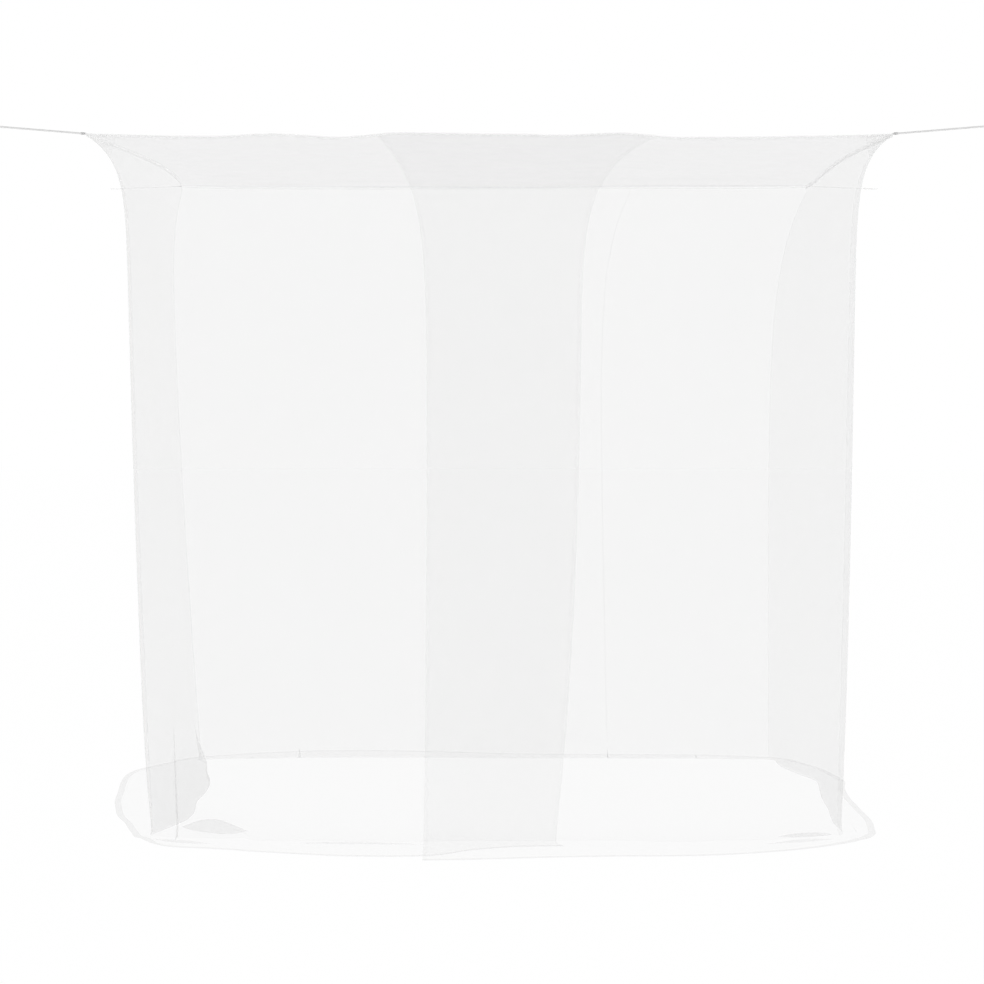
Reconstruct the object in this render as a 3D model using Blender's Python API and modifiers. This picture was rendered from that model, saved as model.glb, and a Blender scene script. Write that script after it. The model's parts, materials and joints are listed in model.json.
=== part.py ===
"""Box mosquito net canopy for a double bed, hung by a tie cord at each roof corner.

Metres, +Z up, the door side faces -Y. The origin is on the floor, under the middle of the net.

The net is sewn from a flat roof panel, a back wall, two side walls and two door panels that overlap
in the middle of the front. A binding tape closes the seam around the roof. Each wall hangs from the
roof's edge to the floor, where its hem turns outwards and lies on the floor. The ties draw the four
roof corners out into pointed ears, and below each ear the wall falls back to its own width.
"""

import math
from typing import NamedTuple

import bmesh
import bpy
from mathutils import Vector

# ---- driving dimensions, metres ----
HANG_HEIGHT = 2.008  # roof edge above the floor
TIP_RISE = 0.007  # how much higher the ties draw the roof's corner tips
TIP_CURVE = 6  # the higher, the closer to its tip a corner rises
CLOTH = 0.0012  # thickness of every sheet, tape included
GAP = 0.0003  # clearance between the pieces of a tie
TAPE_WIDTH = 0.012  # binding tape around the roof, standing on edge
TAPE_CUT = 0.00015  # share of a side by which its tape stops short of each tip
ROOF_SAG = 0.016  # how far the middle of the roof hangs below its edges
ROOF_INSET = 0.0009  # roof panel's edge behind the tape
WALL_INSET = 0.0005  # walls' outer face behind the tape
WALL_DROP = 0.004  # top of the walls below the roof's edge
FOOT_SLANT = 1.5  # how late the walls start to lean towards their foot
CORNER_RADIUS = 0.05  # soft vertical corners between the walls
SQUARE_DEPTH = 0.05  # depth below the roof in which the corners are still sharp
TAPE_HOLD = 0.024  # depth below the roof in which the walls stay behind the tape
EDGE_DEPTH = 0.10  # depth over which the roof edge's unevenness fades down the walls
SEAM_ROUND, SEAM_SHARP = 0.0007, 0.0024  # walls cut back at a soft and at a sharp corner
FOLD_DEPTH = 0.35  # depth below the roof at which the folds have most of their size
FOLD_EASE = 0.30  # distance from a corner over which the folds fade out
FOLD_FLAT = 0.35  # share of the hem's reach over which the folds run out on the floor
FOOT_HEIGHT = 0.12  # height over which a wall's foot finds its own line on the floor
CORNER_COLUMNS = (0.0, 0.012, 0.035)  # grid columns that round a corner, from its line
EVEN_START = 0.09  # distance from a corner at which the even columns start

DOOR_APART_TOP = 0.0018  # inner door panel behind the outer one at the roof
DOOR_APART = 0.009  # the same, lower down
DOOR_APART_DEPTH = 0.15  # depth over which the one becomes the other
DOOR_APART_SHARE = 0.25  # share of the front, from its left corner, over which they part
OVERLAP = 0.22  # share of the front's width that both door panels cover
OVER_LIFT = 0.005  # outer door panel's hem lies this far above the inner one's
OVER_FROM, OVER_TO = 0.80, 0.65  # shares of the front between which the outer hem rises to that

TIE_LENGTH = 0.33  # cord from the corner tip to its knot
THICK_TIE, THIN_TIE = 0.006, 0.003  # diameters of the cords at the front and at the back
TIE_START = 0.0013  # cord's end face outside the corner tip
TIE_DROP = 0.002  # cord's middle below the top of the tip
KNOT_LENGTH, KNOT_WIDTH, KNOT_SOFT = 0.016, 2.5, 0.5  # the last two in cord diameters
LOOP_LENGTH, LOOP_RADIUS = 0.058, 0.012
LOOP_NECK = 0.008  # the loop's two strands leave the knot side by side for this long

# The net's own middle lies here, so that the origin is under the middle of its hem.
NET_MIDDLE = Vector((0.040, 0.110, 0.0))


class Corner(NamedTuple):
    """A vertical corner of the net, in plan: the drawn-out tip, the wall below it and the foot."""

    tip: tuple[float, float]
    wall: tuple[float, float]
    foot: tuple[float, float]
    held: float  # depth below the roof down to which the wall hangs plumb under the tip
    ear: float  # depth over which the tip then falls back to the wall
    hem: float  # how far the hem lies out on the floor, along the normals of both walls
    tie_rise: float  # how far the tie climbs along its length
    tie: float  # its diameter


CORNERS = {
    "front_left": Corner(
        (-1.1445, -1.0), (-1.038, -0.90), (-0.980, -0.87), 0.006, 0.070, 0.034, 0.0, THICK_TIE
    ),
    "front_right": Corner(
        (1.130, -1.0), (1.026, -0.90), (0.997, -0.87), 0.006, 0.070, 0.064, 0.0, THICK_TIE
    ),
    "back_right": Corner(
        (1.108, 1.0), (0.968, 0.925), (0.965, 0.83), 0.024, 0.240, 0.055, 0.009, THIN_TIE
    ),
    "back_left": Corner(
        (-1.094, 1.0), (-1.130, 0.970), (-1.015, 0.83), 0.024, 0.120, 0.055, 0.009, THIN_TIE
    ),
}


class Side(NamedTuple):
    """A side of the net between two corners, walked counterclockwise as seen from above."""

    start: str
    end: str
    outward: tuple[float, float]
    roof_bow: float  # how far the roof's edge is drawn in between the tips
    bow_lean: float  # how much deeper the bow is towards the start than towards the end
    wall_belly: float  # how far the wall stands out between the corners
    foot_belly: float  # the same at the floor


SIDES = {
    "front": Side("front_left", "front_right", (0, -1), 0.038, 0.0, 0.045, 0.100),
    "right": Side("front_right", "back_right", (1, 0), 0.035, 0.6, 0.049, 0.046),
    "back": Side("back_right", "back_left", (0, 1), 0.035, 0.0, 0.020, 0.015),
    "left": Side("back_left", "front_left", (-1, 0), 0.066, 0.0, -0.022, 0.034),
}


class Fold(NamedTuple):
    """A train of soft vertical folds across a wall."""

    count: float
    height: float
    start: float  # share of a fold by which the train is shifted
    drift: float  # share of a fold by which it wanders down the wall


FOLDS = {
    "front": (Fold(5.0, 0.006, 0.10, 0.20), Fold(8.3, 0.003, 0.60, -0.30)),
    "right": (Fold(3.6, 0.004, 0.75, 0.25), Fold(6.1, 0.0015, 0.05, -0.20)),
    "back": (Fold(4.4, 0.008, 0.50, 0.15), Fold(7.7, 0.004, 0.20, 0.30)),
    "left": (Fold(3.1, 0.003, 0.70, -0.20), Fold(5.3, 0.001, 0.40, 0.25)),
}


class Along(NamedTuple):
    """A measure at a share of the way along a side."""

    along: float
    measure: float


# How much higher than HANG_HEIGHT the roof's edge hangs between its tips.
RISES = {
    "front": (
        Along(0.15, 0.000),
        Along(0.23, 0.009),
        Along(0.31, 0.000),
        Along(0.39, 0.013),
        Along(0.53, 0.009),
        Along(0.59, 0.006),
        Along(0.66, 0.012),
        Along(0.74, -0.001),
    ),
    "right": (Along(0.0, 0.0), Along(0.4, 0.002), Along(1.0, 0.0)),
    "back": (Along(0.0, 0.0), Along(0.3, 0.002), Along(0.6, -0.001), Along(1.0, 0.0)),
    "left": (Along(0.0, 0.0), Along(0.5, -0.001), Along(1.0, 0.0)),
}

# How far the foot of a side wall stands out on the floor from where it would hang.
FEET = {
    "right": (
        Along(0.00, 0.000),
        Along(0.13, -0.038),
        Along(0.40, -0.016),
        Along(0.57, 0.012),
        Along(0.67, 0.024),
        Along(0.78, -0.020),
        Along(0.89, -0.040),
        Along(1.00, 0.000),
    ),
    "left": (
        Along(0.00, 0.000),
        Along(0.07, -0.070),
        Along(0.15, -0.100),
        Along(0.36, -0.162),
        Along(0.60, -0.158),
        Along(0.81, -0.148),
        Along(0.92, -0.080),
        Along(1.00, 0.000),
    ),
}

# How far the hem lies out from the foot of each wall and of each door panel.
HEMS = {
    "front_left": (
        Along(0.00, CORNERS["front_left"].hem),
        Along(0.04, 0.135),
        Along(0.11, 0.155),
        Along(0.19, 0.200),
        Along(0.30, 0.255),
        Along(0.41, 0.240),
        Along(0.46, 0.150),
        Along(0.52, 0.090),
        Along(0.61, 0.070),
    ),
    "front_right": (
        Along(0.38, 0.345),
        Along(0.46, 0.330),
        Along(0.58, 0.290),
        Along(0.72, 0.262),
        Along(0.85, 0.207),
        Along(0.93, 0.148),
        Along(1.00, CORNERS["front_right"].hem),
    ),
    "right": (
        Along(0.00, CORNERS["front_right"].hem),
        Along(0.07, 0.113),
        Along(0.19, 0.130),
        Along(0.34, 0.112),
        Along(0.60, 0.092),
        Along(0.85, 0.142),
        Along(1.00, CORNERS["back_right"].hem),
    ),
    "back": (
        Along(0.00, CORNERS["back_right"].hem),
        Along(0.12, 0.120),
        Along(0.30, 0.135),
        Along(0.45, 0.155),
        Along(0.58, 0.222),
        Along(0.70, 0.246),
        Along(0.80, 0.238),
        Along(0.91, 0.155),
        Along(1.00, CORNERS["back_left"].hem),
    ),
    "left": (
        Along(0.00, CORNERS["back_left"].hem),
        Along(0.12, 0.215),
        Along(0.22, 0.297),
        Along(0.35, 0.331),
        Along(0.50, 0.316),
        Along(0.64, 0.288),
        Along(0.78, 0.247),
        Along(0.90, 0.148),
        Along(1.00, CORNERS["front_left"].hem),
    ),
}


class Row(NamedTuple):
    """A row of the wall's grid. Below the bend, out is the share of the hem's reach."""

    height: float
    out: float


FLOOR_ROWS = (
    Row(0.000, 1.00),
    Row(0.000, 0.68),
    Row(0.000, 0.36),
    Row(0.003, 0.15),
    Row(0.014, 0.05),
    Row(0.045, 0.01),
)
WALL_HEIGHTS = (0.11, 0.30, 0.62, 1.00, 1.35, 1.62, 1.80)
EAR_DEPTHS = (0.120, 0.075, 0.045, 0.022, WALL_DROP)
ROWS = (
    *FLOOR_ROWS,
    *(Row(height, 0.0) for height in WALL_HEIGHTS),
    *(Row(HANG_HEIGHT - depth, 0.0) for depth in EAR_DEPTHS),
)


class FreeEdge(NamedTuple):
    """The X of a door panel's free edge: it swings in below the roof and then hangs."""

    hung: float
    swing: float  # how far from there it starts at the roof
    swing_depth: float
    sway: float  # how much further left its foot is


FREE_EDGES = {
    "front_left": FreeEdge(0.255, 0.221, 0.10, 0.074),
    "front_right": FreeEdge(-0.185, -0.146, 0.13, 0.010),
}

# ---- colours: linear base colour and roughness ----
NET_WHITE = ((0.86, 0.87, 0.88, 1.0), 0.85)
TAPE_WHITE = ((0.80, 0.80, 0.79, 1.0), 0.75)
CORD_WHITE = ((0.72, 0.72, 0.71, 1.0), 0.80)


def ease(share):
    """A share held between 0 and 1, with a soft start and end."""
    held = min(1.0, max(0.0, share))
    return held * held * (3 - 2 * held)


def through(table, along):
    """The measure of a table at a place, eased from each of its rows to the next."""
    for before, after in zip(table, table[1:]):
        if along <= after.along:
            share = ease((along - before.along) / (after.along - before.along))
            return before.measure + (after.measure - before.measure) * share
    return table[-1].measure


def smoothly(table, along):
    """The measure of a table at a place, on a smooth curve through its rows."""
    last = len(table) - 1
    index = next((at for at in range(last - 1, 0, -1) if table[at].along <= along), 0)
    slopes = []
    for at in (index, index + 1):
        before, after = table[max(0, at - 1)], table[min(last, at + 1)]
        slopes.append((after.measure - before.measure) / (after.along - before.along))
    low, high = table[index], table[index + 1]
    span = high.along - low.along
    share = min(1.0, max(0.0, (along - low.along) / span))
    rest = 1 - share
    bend = span * share * rest * (slopes[0] * rest - slopes[1] * share)
    return low.measure + (high.measure - low.measure) * ease(share) + bend


def evenly(first, last, count):
    """Places from first to last in count equal steps."""
    return [first + (last - first) * step / count for step in range(count + 1)]


def corner_place(name, depth):
    """A corner's plan position at a depth below the roof's edge."""
    corner = CORNERS[name]
    tip, wall, foot = (Vector(place) for place in (corner.tip, corner.wall, corner.foot))
    return wall.lerp(foot, leaning(depth)).lerp(tip, drawn(depth, corner.held, corner.ear))


def drawn(depth, held, ear):
    """How much of the roof edge's own place a wall has at a depth below it: 1 down to held."""
    return math.exp(-max(0.0, depth - held) / ear)


def leaning(depth):
    """The share of its lean towards the foot that a wall has at a depth below the roof's edge."""
    return (depth / HANG_HEIGHT) ** FOOT_SLANT


def edge_height(side, along):
    """The height of the roof's edge: drawn up to the corner tips and a little uneven."""
    to_tip = abs(2 * along - 1) ** TIP_CURVE
    return HANG_HEIGHT + TIP_RISE * to_tip + through(RISES[side], along)


def arch(along, power):
    """1 in the middle of a side and 0 at its corners, the flatter the higher the power."""
    return 1 - abs(2 * along - 1) ** power


def edge_place(side, along):
    """A point on the roof's edge, drawn in between the tips."""
    run = SIDES[side]
    start, end = (Vector(CORNERS[name].tip) for name in (run.start, run.end))
    inwards = run.roof_bow * arch(along, 2) * (1 + run.bow_lean * (1 - 2 * along))
    place = start.lerp(end, along) - Vector(run.outward) * inwards
    return Vector((*place, edge_height(side, along)))


def along_edge(side, place):
    """The share of the way along the roof's edge that lies straight above a plan position."""
    run = SIDES[side]
    start, end = (Vector(CORNERS[name].tip) for name in (run.start, run.end))
    share = (place - start).dot(end - start) / (end - start).length_squared
    return min(1.0, max(0.0, share))


def rounding(distance):
    """How far a soft corner's arc stands out at a distance along the wall from its middle."""
    half = CORNER_RADIUS * math.sqrt(0.5)
    across = max(0.0, half - distance)
    return math.sqrt(CORNER_RADIUS**2 - across**2) - half


def folded(side, along, depth, length):
    """The outward shift of a wall's folds, which grow down the wall and fade at the corners."""
    grown = 1 - math.exp(-depth / FOLD_DEPTH)
    total = 0.0
    for fold in FOLDS[side]:
        turn = fold.count * along + fold.start + fold.drift * depth
        total += fold.height * math.sin(2 * math.pi * turn)
    return total * grown * ease(min(along, 1 - along) * length / FOLD_EASE)


def wall_place(side, hem, along, row, behind=0.0, lift=0.0):
    """A point on the outer face of a wall or of its hem.

    along runs from the side's start corner to its end, behind shifts the cloth inwards and lift
    raises the part of it that lies on the floor.
    """
    run = SIDES[side]
    depth = HANG_HEIGHT - row.height
    outward = Vector(run.outward)
    sideways = Vector((-outward.y, outward.x))
    corners = CORNERS[run.start], CORNERS[run.end]
    lean = leaning(depth)
    start, end = (
        Vector(corner.wall).lerp(Vector(corner.foot), lean) for corner in corners
    )
    length = (end - start).length
    near = min(along, 1 - along) * length
    sharp = math.exp(-depth / SQUARE_DEPTH)

    out = (run.wall_belly + (run.foot_belly - run.wall_belly) * lean) * arch(along, 4)
    out += rounding(near) * (1 - sharp)
    out += folded(side, along, depth, length) * (1 - ease(row.out / FOLD_FLAT))
    if side in FEET:
        out += smoothly(FEET[side], along) * math.exp(-row.height / FOOT_HEIGHT)
    out += smoothly(hem, along) * row.out
    spread = corners[1].hem * along - corners[0].hem * (1 - along)
    place = start.lerp(end, along) + outward * out + sideways * spread * row.out

    edge = edge_place(side, along)
    ear = corners[0].ear + (corners[1].ear - corners[0].ear) * along
    held = corners[0].held + (corners[1].held - corners[0].held) * along
    place = place.lerp(edge.xy, drawn(depth, held, ear))
    if depth < TAPE_HOLD:
        above = edge_place(side, along_edge(side, place)).xy
        place -= outward * max(0.0, (place - above).dot(outward))
    place -= outward * (WALL_INSET + behind)

    height = row.height + (edge.z - HANG_HEIGHT) * math.exp(-depth / EDGE_DEPTH)
    near_floor = math.exp(-row.height / EDGE_DEPTH)
    return Vector((*place, max(height, CLOTH) + lift * near_floor))


def cut_back(name, depth):
    """How far a wall stops short of a corner's line, more where the corner is sharp."""
    corner = CORNERS[name]
    soft = 1 - math.exp(-depth / SQUARE_DEPTH)
    soft *= 1 - drawn(depth, corner.held, corner.ear)
    return SEAM_SHARP + (SEAM_ROUND - SEAM_SHARP) * soft


def side_length(side):
    """The length of a side of the net, just below its roof."""
    run = SIDES[side]
    return (Vector(CORNERS[run.end].wall) - Vector(CORNERS[run.start].wall)).length


def wall_columns(side, count):
    """Shares along a whole side: both rounded corners and even steps between them."""
    length = side_length(side)
    near = [distance / length for distance in CORNER_COLUMNS]
    first = EVEN_START / length
    return [*near, *evenly(first, 1 - first, count), *(1 - share for share in reversed(near))]


def door_columns(count):
    """Shares of a door panel, from its corner to its free edge."""
    width = side_length("front") * (1 + OVERLAP) / 2
    near = [distance / width for distance in CORNER_COLUMNS]
    return [*near, *evenly(EVEN_START / width, 1, count)]


def free_edge(door, depth):
    """X of a door panel's free edge at a depth below the roof."""
    edge = FREE_EDGES[door]
    swing = edge.swing * math.exp(-depth / edge.swing_depth)
    return edge.hung + swing - edge.sway * (depth / HANG_HEIGHT) ** 3


def material(name, colour_and_roughness):
    """A plain cloth material."""
    colour, roughness = colour_and_roughness
    made = bpy.data.materials.new(name)
    made.use_nodes = True
    shader = made.node_tree.nodes["Principled BSDF"]
    shader.inputs["Base Color"].default_value = colour
    shader.inputs["Roughness"].default_value = roughness
    shader.inputs["Metallic"].default_value = 0.0
    return made


def finish_object(name, data, collection, parent, coat):
    """Links a new object, gives it its material and parents it."""
    made = bpy.data.objects.new(name, data)
    made.parent = parent
    data.materials.append(coat)
    collection.objects.link(made)
    return made


def sheet(name, columns, rows, place, collection, parent, coat, outside=False):
    """A cloth: a grid primitive laid over place(column, row), thickened to its inner side."""
    grid = bmesh.new()
    across, up = len(columns) - 1, len(rows) - 1
    bmesh.ops.create_grid(grid, x_segments=across, y_segments=up, size=0.5)
    for vertex in grid.verts:
        column = columns[round((vertex.co.x + 0.5) * across)]
        row = rows[round((vertex.co.y + 0.5) * up)]
        vertex.co = place(column, row)
    mesh = bpy.data.meshes.new(name)
    grid.to_mesh(mesh)
    grid.free()
    mesh.shade_smooth()
    made = finish_object(name, mesh, collection, parent, coat)
    shell = made.modifiers.new("thickness", "SOLIDIFY")
    shell.thickness = CLOTH
    shell.offset = 1.0 if outside else -1.0
    return made


def add_roof(collection, parent, coat):
    """The roof panel, stretched between its four bowed edges and sagging a little."""
    tips = {
        name: Vector((*corner.tip, HANG_HEIGHT + TIP_RISE)) for name, corner in CORNERS.items()
    }

    def place(across, back):
        """A point of the Coons patch between the edges: ruled both ways, less the plain ruling."""
        front_to_back = edge_place("front", across).lerp(edge_place("back", 1 - across), back)
        left_to_right = edge_place("left", 1 - back).lerp(edge_place("right", back), across)
        front_tips = tips["front_left"].lerp(tips["front_right"], across)
        back_tips = tips["back_left"].lerp(tips["back_right"], across)
        place = front_to_back + left_to_right - front_tips.lerp(back_tips, back)
        place.z -= ROOF_SAG * arch(across, 2) * arch(back, 2)
        return place

    inset = ROOF_INSET / (tips["back_left"] - tips["front_left"]).length
    columns, rows = evenly(inset, 1 - inset, 28), evenly(inset, 1 - inset, 12)
    sheet("roof_panel", columns, rows, place, collection, parent, coat)


def add_walls(collection, parent, coat):
    """The back wall and the two side walls."""
    for side, count in (("right", 18), ("back", 20), ("left", 18)):

        def place(along, row, side=side):
            run = SIDES[side]
            depth = HANG_HEIGHT - row.height
            length = (corner_place(run.end, depth) - corner_place(run.start, depth)).length
            first = cut_back(run.start, depth) / length
            last = 1 - cut_back(run.end, depth) / length
            return wall_place(side, HEMS[side], min(max(along, first), last), row)

        name = "back_panel" if side == "back" else f"side_panel_{side}"
        sheet(name, wall_columns(side, count), ROWS, place, collection, parent, coat)


def add_doors(collection, parent, coat):
    """The two door panels. The right one hangs outside, and its hem lies on the left one's."""
    run = SIDES["front"]

    def along_side(door, share, depth):
        """A door panel's own share, from its corner to its free edge, as a share of the front."""
        start, end = corner_place(run.start, depth), corner_place(run.end, depth)
        kept = cut_back(door, depth) / (end - start).length
        corner = kept if door == "front_left" else 1 - kept
        free = (free_edge(door, depth) - start.x) / (end.x - start.x)
        return corner + (free - corner) * share

    def left(share, row):
        depth = HANG_HEIGHT - row.height
        along = along_side("front_left", share, depth)
        apart = DOOR_APART - (DOOR_APART - DOOR_APART_TOP) * math.exp(-depth / DOOR_APART_DEPTH)
        apart *= min(1.0, along / DOOR_APART_SHARE)
        return wall_place("front", HEMS["front_left"], along, row, behind=apart)

    def right(share, row):
        depth = HANG_HEIGHT - row.height
        along = along_side("front_right", share, depth)
        over = ease((OVER_FROM - along) / (OVER_FROM - OVER_TO))
        return wall_place("front", HEMS["front_right"], along, row, lift=OVER_LIFT * over)

    columns = door_columns(16)
    sheet("front_panel_left", columns, ROWS, left, collection, parent, coat)
    mirrored = [*reversed(columns)]
    sheet("front_panel_right", mirrored, ROWS, right, collection, parent, coat)


def add_binding(collection, parent, coat):
    """A strip of tape on each edge of the roof, outside the walls' top."""
    for side in SIDES:

        def place(along, height, side=side):
            edge = edge_place(side, min(max(along, TAPE_CUT), 1 - TAPE_CUT))
            edge.z += height
            return edge

        name = f"edge_binding_{side}"
        heights = (-TAPE_WIDTH, 0.0)
        sheet(name, evenly(0, 1, 24), heights, place, collection, parent, coat, outside=True)


def tube(name, points, diameter, collection, parent, coat):
    """A cord along points, as a curve with a round bevel."""
    curve = bpy.data.curves.new(name, "CURVE")
    curve.dimensions = "3D"
    curve.bevel_depth = diameter / 2
    curve.bevel_resolution = 2
    curve.use_fill_caps = True
    line = curve.splines.new("POLY")
    line.points.add(len(points) - 1)
    for point, place in zip(line.points, points):
        point.co = (*place, 1.0)
    line.use_smooth = True
    return finish_object(name, curve, collection, parent, coat)


def loop_points(diameter):
    """The tie's end loop, lying flat: out of the knot, around its round end and back."""
    neck = diameter / 2 + GAP
    round_end = LOOP_LENGTH - LOOP_RADIUS
    half = [Vector((0.0, neck, 0.0))]
    for share in (0.0, 0.35, 0.65):
        width = neck + (LOOP_RADIUS - neck) * ease(share)
        half.append(Vector((LOOP_NECK + (round_end - LOOP_NECK) * share, width, 0.0)))
    half += [
        Vector((round_end + LOOP_RADIUS * math.cos(angle), LOOP_RADIUS * math.sin(angle), 0.0))
        for angle in evenly(math.pi / 2, 0, 4)
    ]
    return half + [Vector((point.x, -point.y, 0.0)) for point in reversed(half[:-1])]


def add_ties(collection, parent, coat):
    """A tie at each corner: the cord, its knot and its end loop, built along X and turned."""
    for name, corner in CORNERS.items():
        tip = Vector((*corner.tip, HANG_HEIGHT + TIP_RISE - TIE_DROP))
        pulled = Vector((math.copysign(1, tip.x), math.copysign(1, tip.y), 0.0)).normalized()
        pulled = (pulled + Vector((0, 0, corner.tie_rise / TIE_LENGTH))).normalized()

        tie = bpy.data.objects.new(f"tie_{name}", None)
        tie.parent = parent
        tie.location = tip
        tie.rotation_euler = pulled.to_track_quat("X", "Z").to_euler()
        collection.objects.link(tie)

        cord = [Vector((place, 0, 0)) for place in evenly(TIE_START, TIE_LENGTH, 20)]
        tube(f"tie_cord_{name}", cord, corner.tie, collection, tie, coat)

        bpy.ops.mesh.primitive_cylinder_add(
            vertices=12,
            radius=KNOT_WIDTH * corner.tie / 2,
            depth=KNOT_LENGTH,
            rotation=(0, math.pi / 2, 0),
        )
        knot = bpy.context.object
        knot.name = f"tie_knot_{name}"
        knot.data.name = knot.name
        for holder in list(knot.users_collection):
            holder.objects.unlink(knot)
        collection.objects.link(knot)
        knot.parent = tie
        knot.location = (TIE_LENGTH + GAP + KNOT_LENGTH / 2, 0, 0)
        knot.data.materials.append(coat)
        knot.data.shade_smooth()
        knot.data.set_sharp_from_angle(angle=math.radians(40))
        soft = knot.modifiers.new("soft_edges", "BEVEL")
        soft.width = KNOT_SOFT * corner.tie
        soft.segments = 2
        soft.limit_method = "ANGLE"
        soft.angle_limit = math.radians(60)

        line = loop_points(corner.tie)
        loop = tube(f"tie_loop_{name}", line, corner.tie, collection, tie, coat)
        loop.location = (TIE_LENGTH + KNOT_LENGTH + 2 * GAP, 0, 0)


def clear_scene():
    """Removes what the scene holds."""
    for found in list(bpy.data.objects):
        bpy.data.objects.remove(found, do_unlink=True)


def main():
    """Builds the canopy."""
    clear_scene()
    canopy = bpy.data.collections.new("mosquito_net_canopy")
    bpy.context.scene.collection.children.link(canopy)
    middle = bpy.data.objects.new("net_middle", None)
    middle.location = NET_MIDDLE
    canopy.objects.link(middle)

    net = material("net_cloth", NET_WHITE)
    tape = material("binding_tape", TAPE_WHITE)
    cord = material("tie_cord", CORD_WHITE)

    add_roof(canopy, middle, net)
    add_walls(canopy, middle, net)
    add_doors(canopy, middle, net)
    add_binding(canopy, middle, tape)
    add_ties(canopy, middle, cord)


main()
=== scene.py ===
"""Looks of a box mosquito net canopy: its netting, hems, seams, binding tape and tie ropes.

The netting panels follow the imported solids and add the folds, ripples, tucks and rucks of real
cloth. Metres, +Z up, the door side faces -Y.
"""

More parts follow.
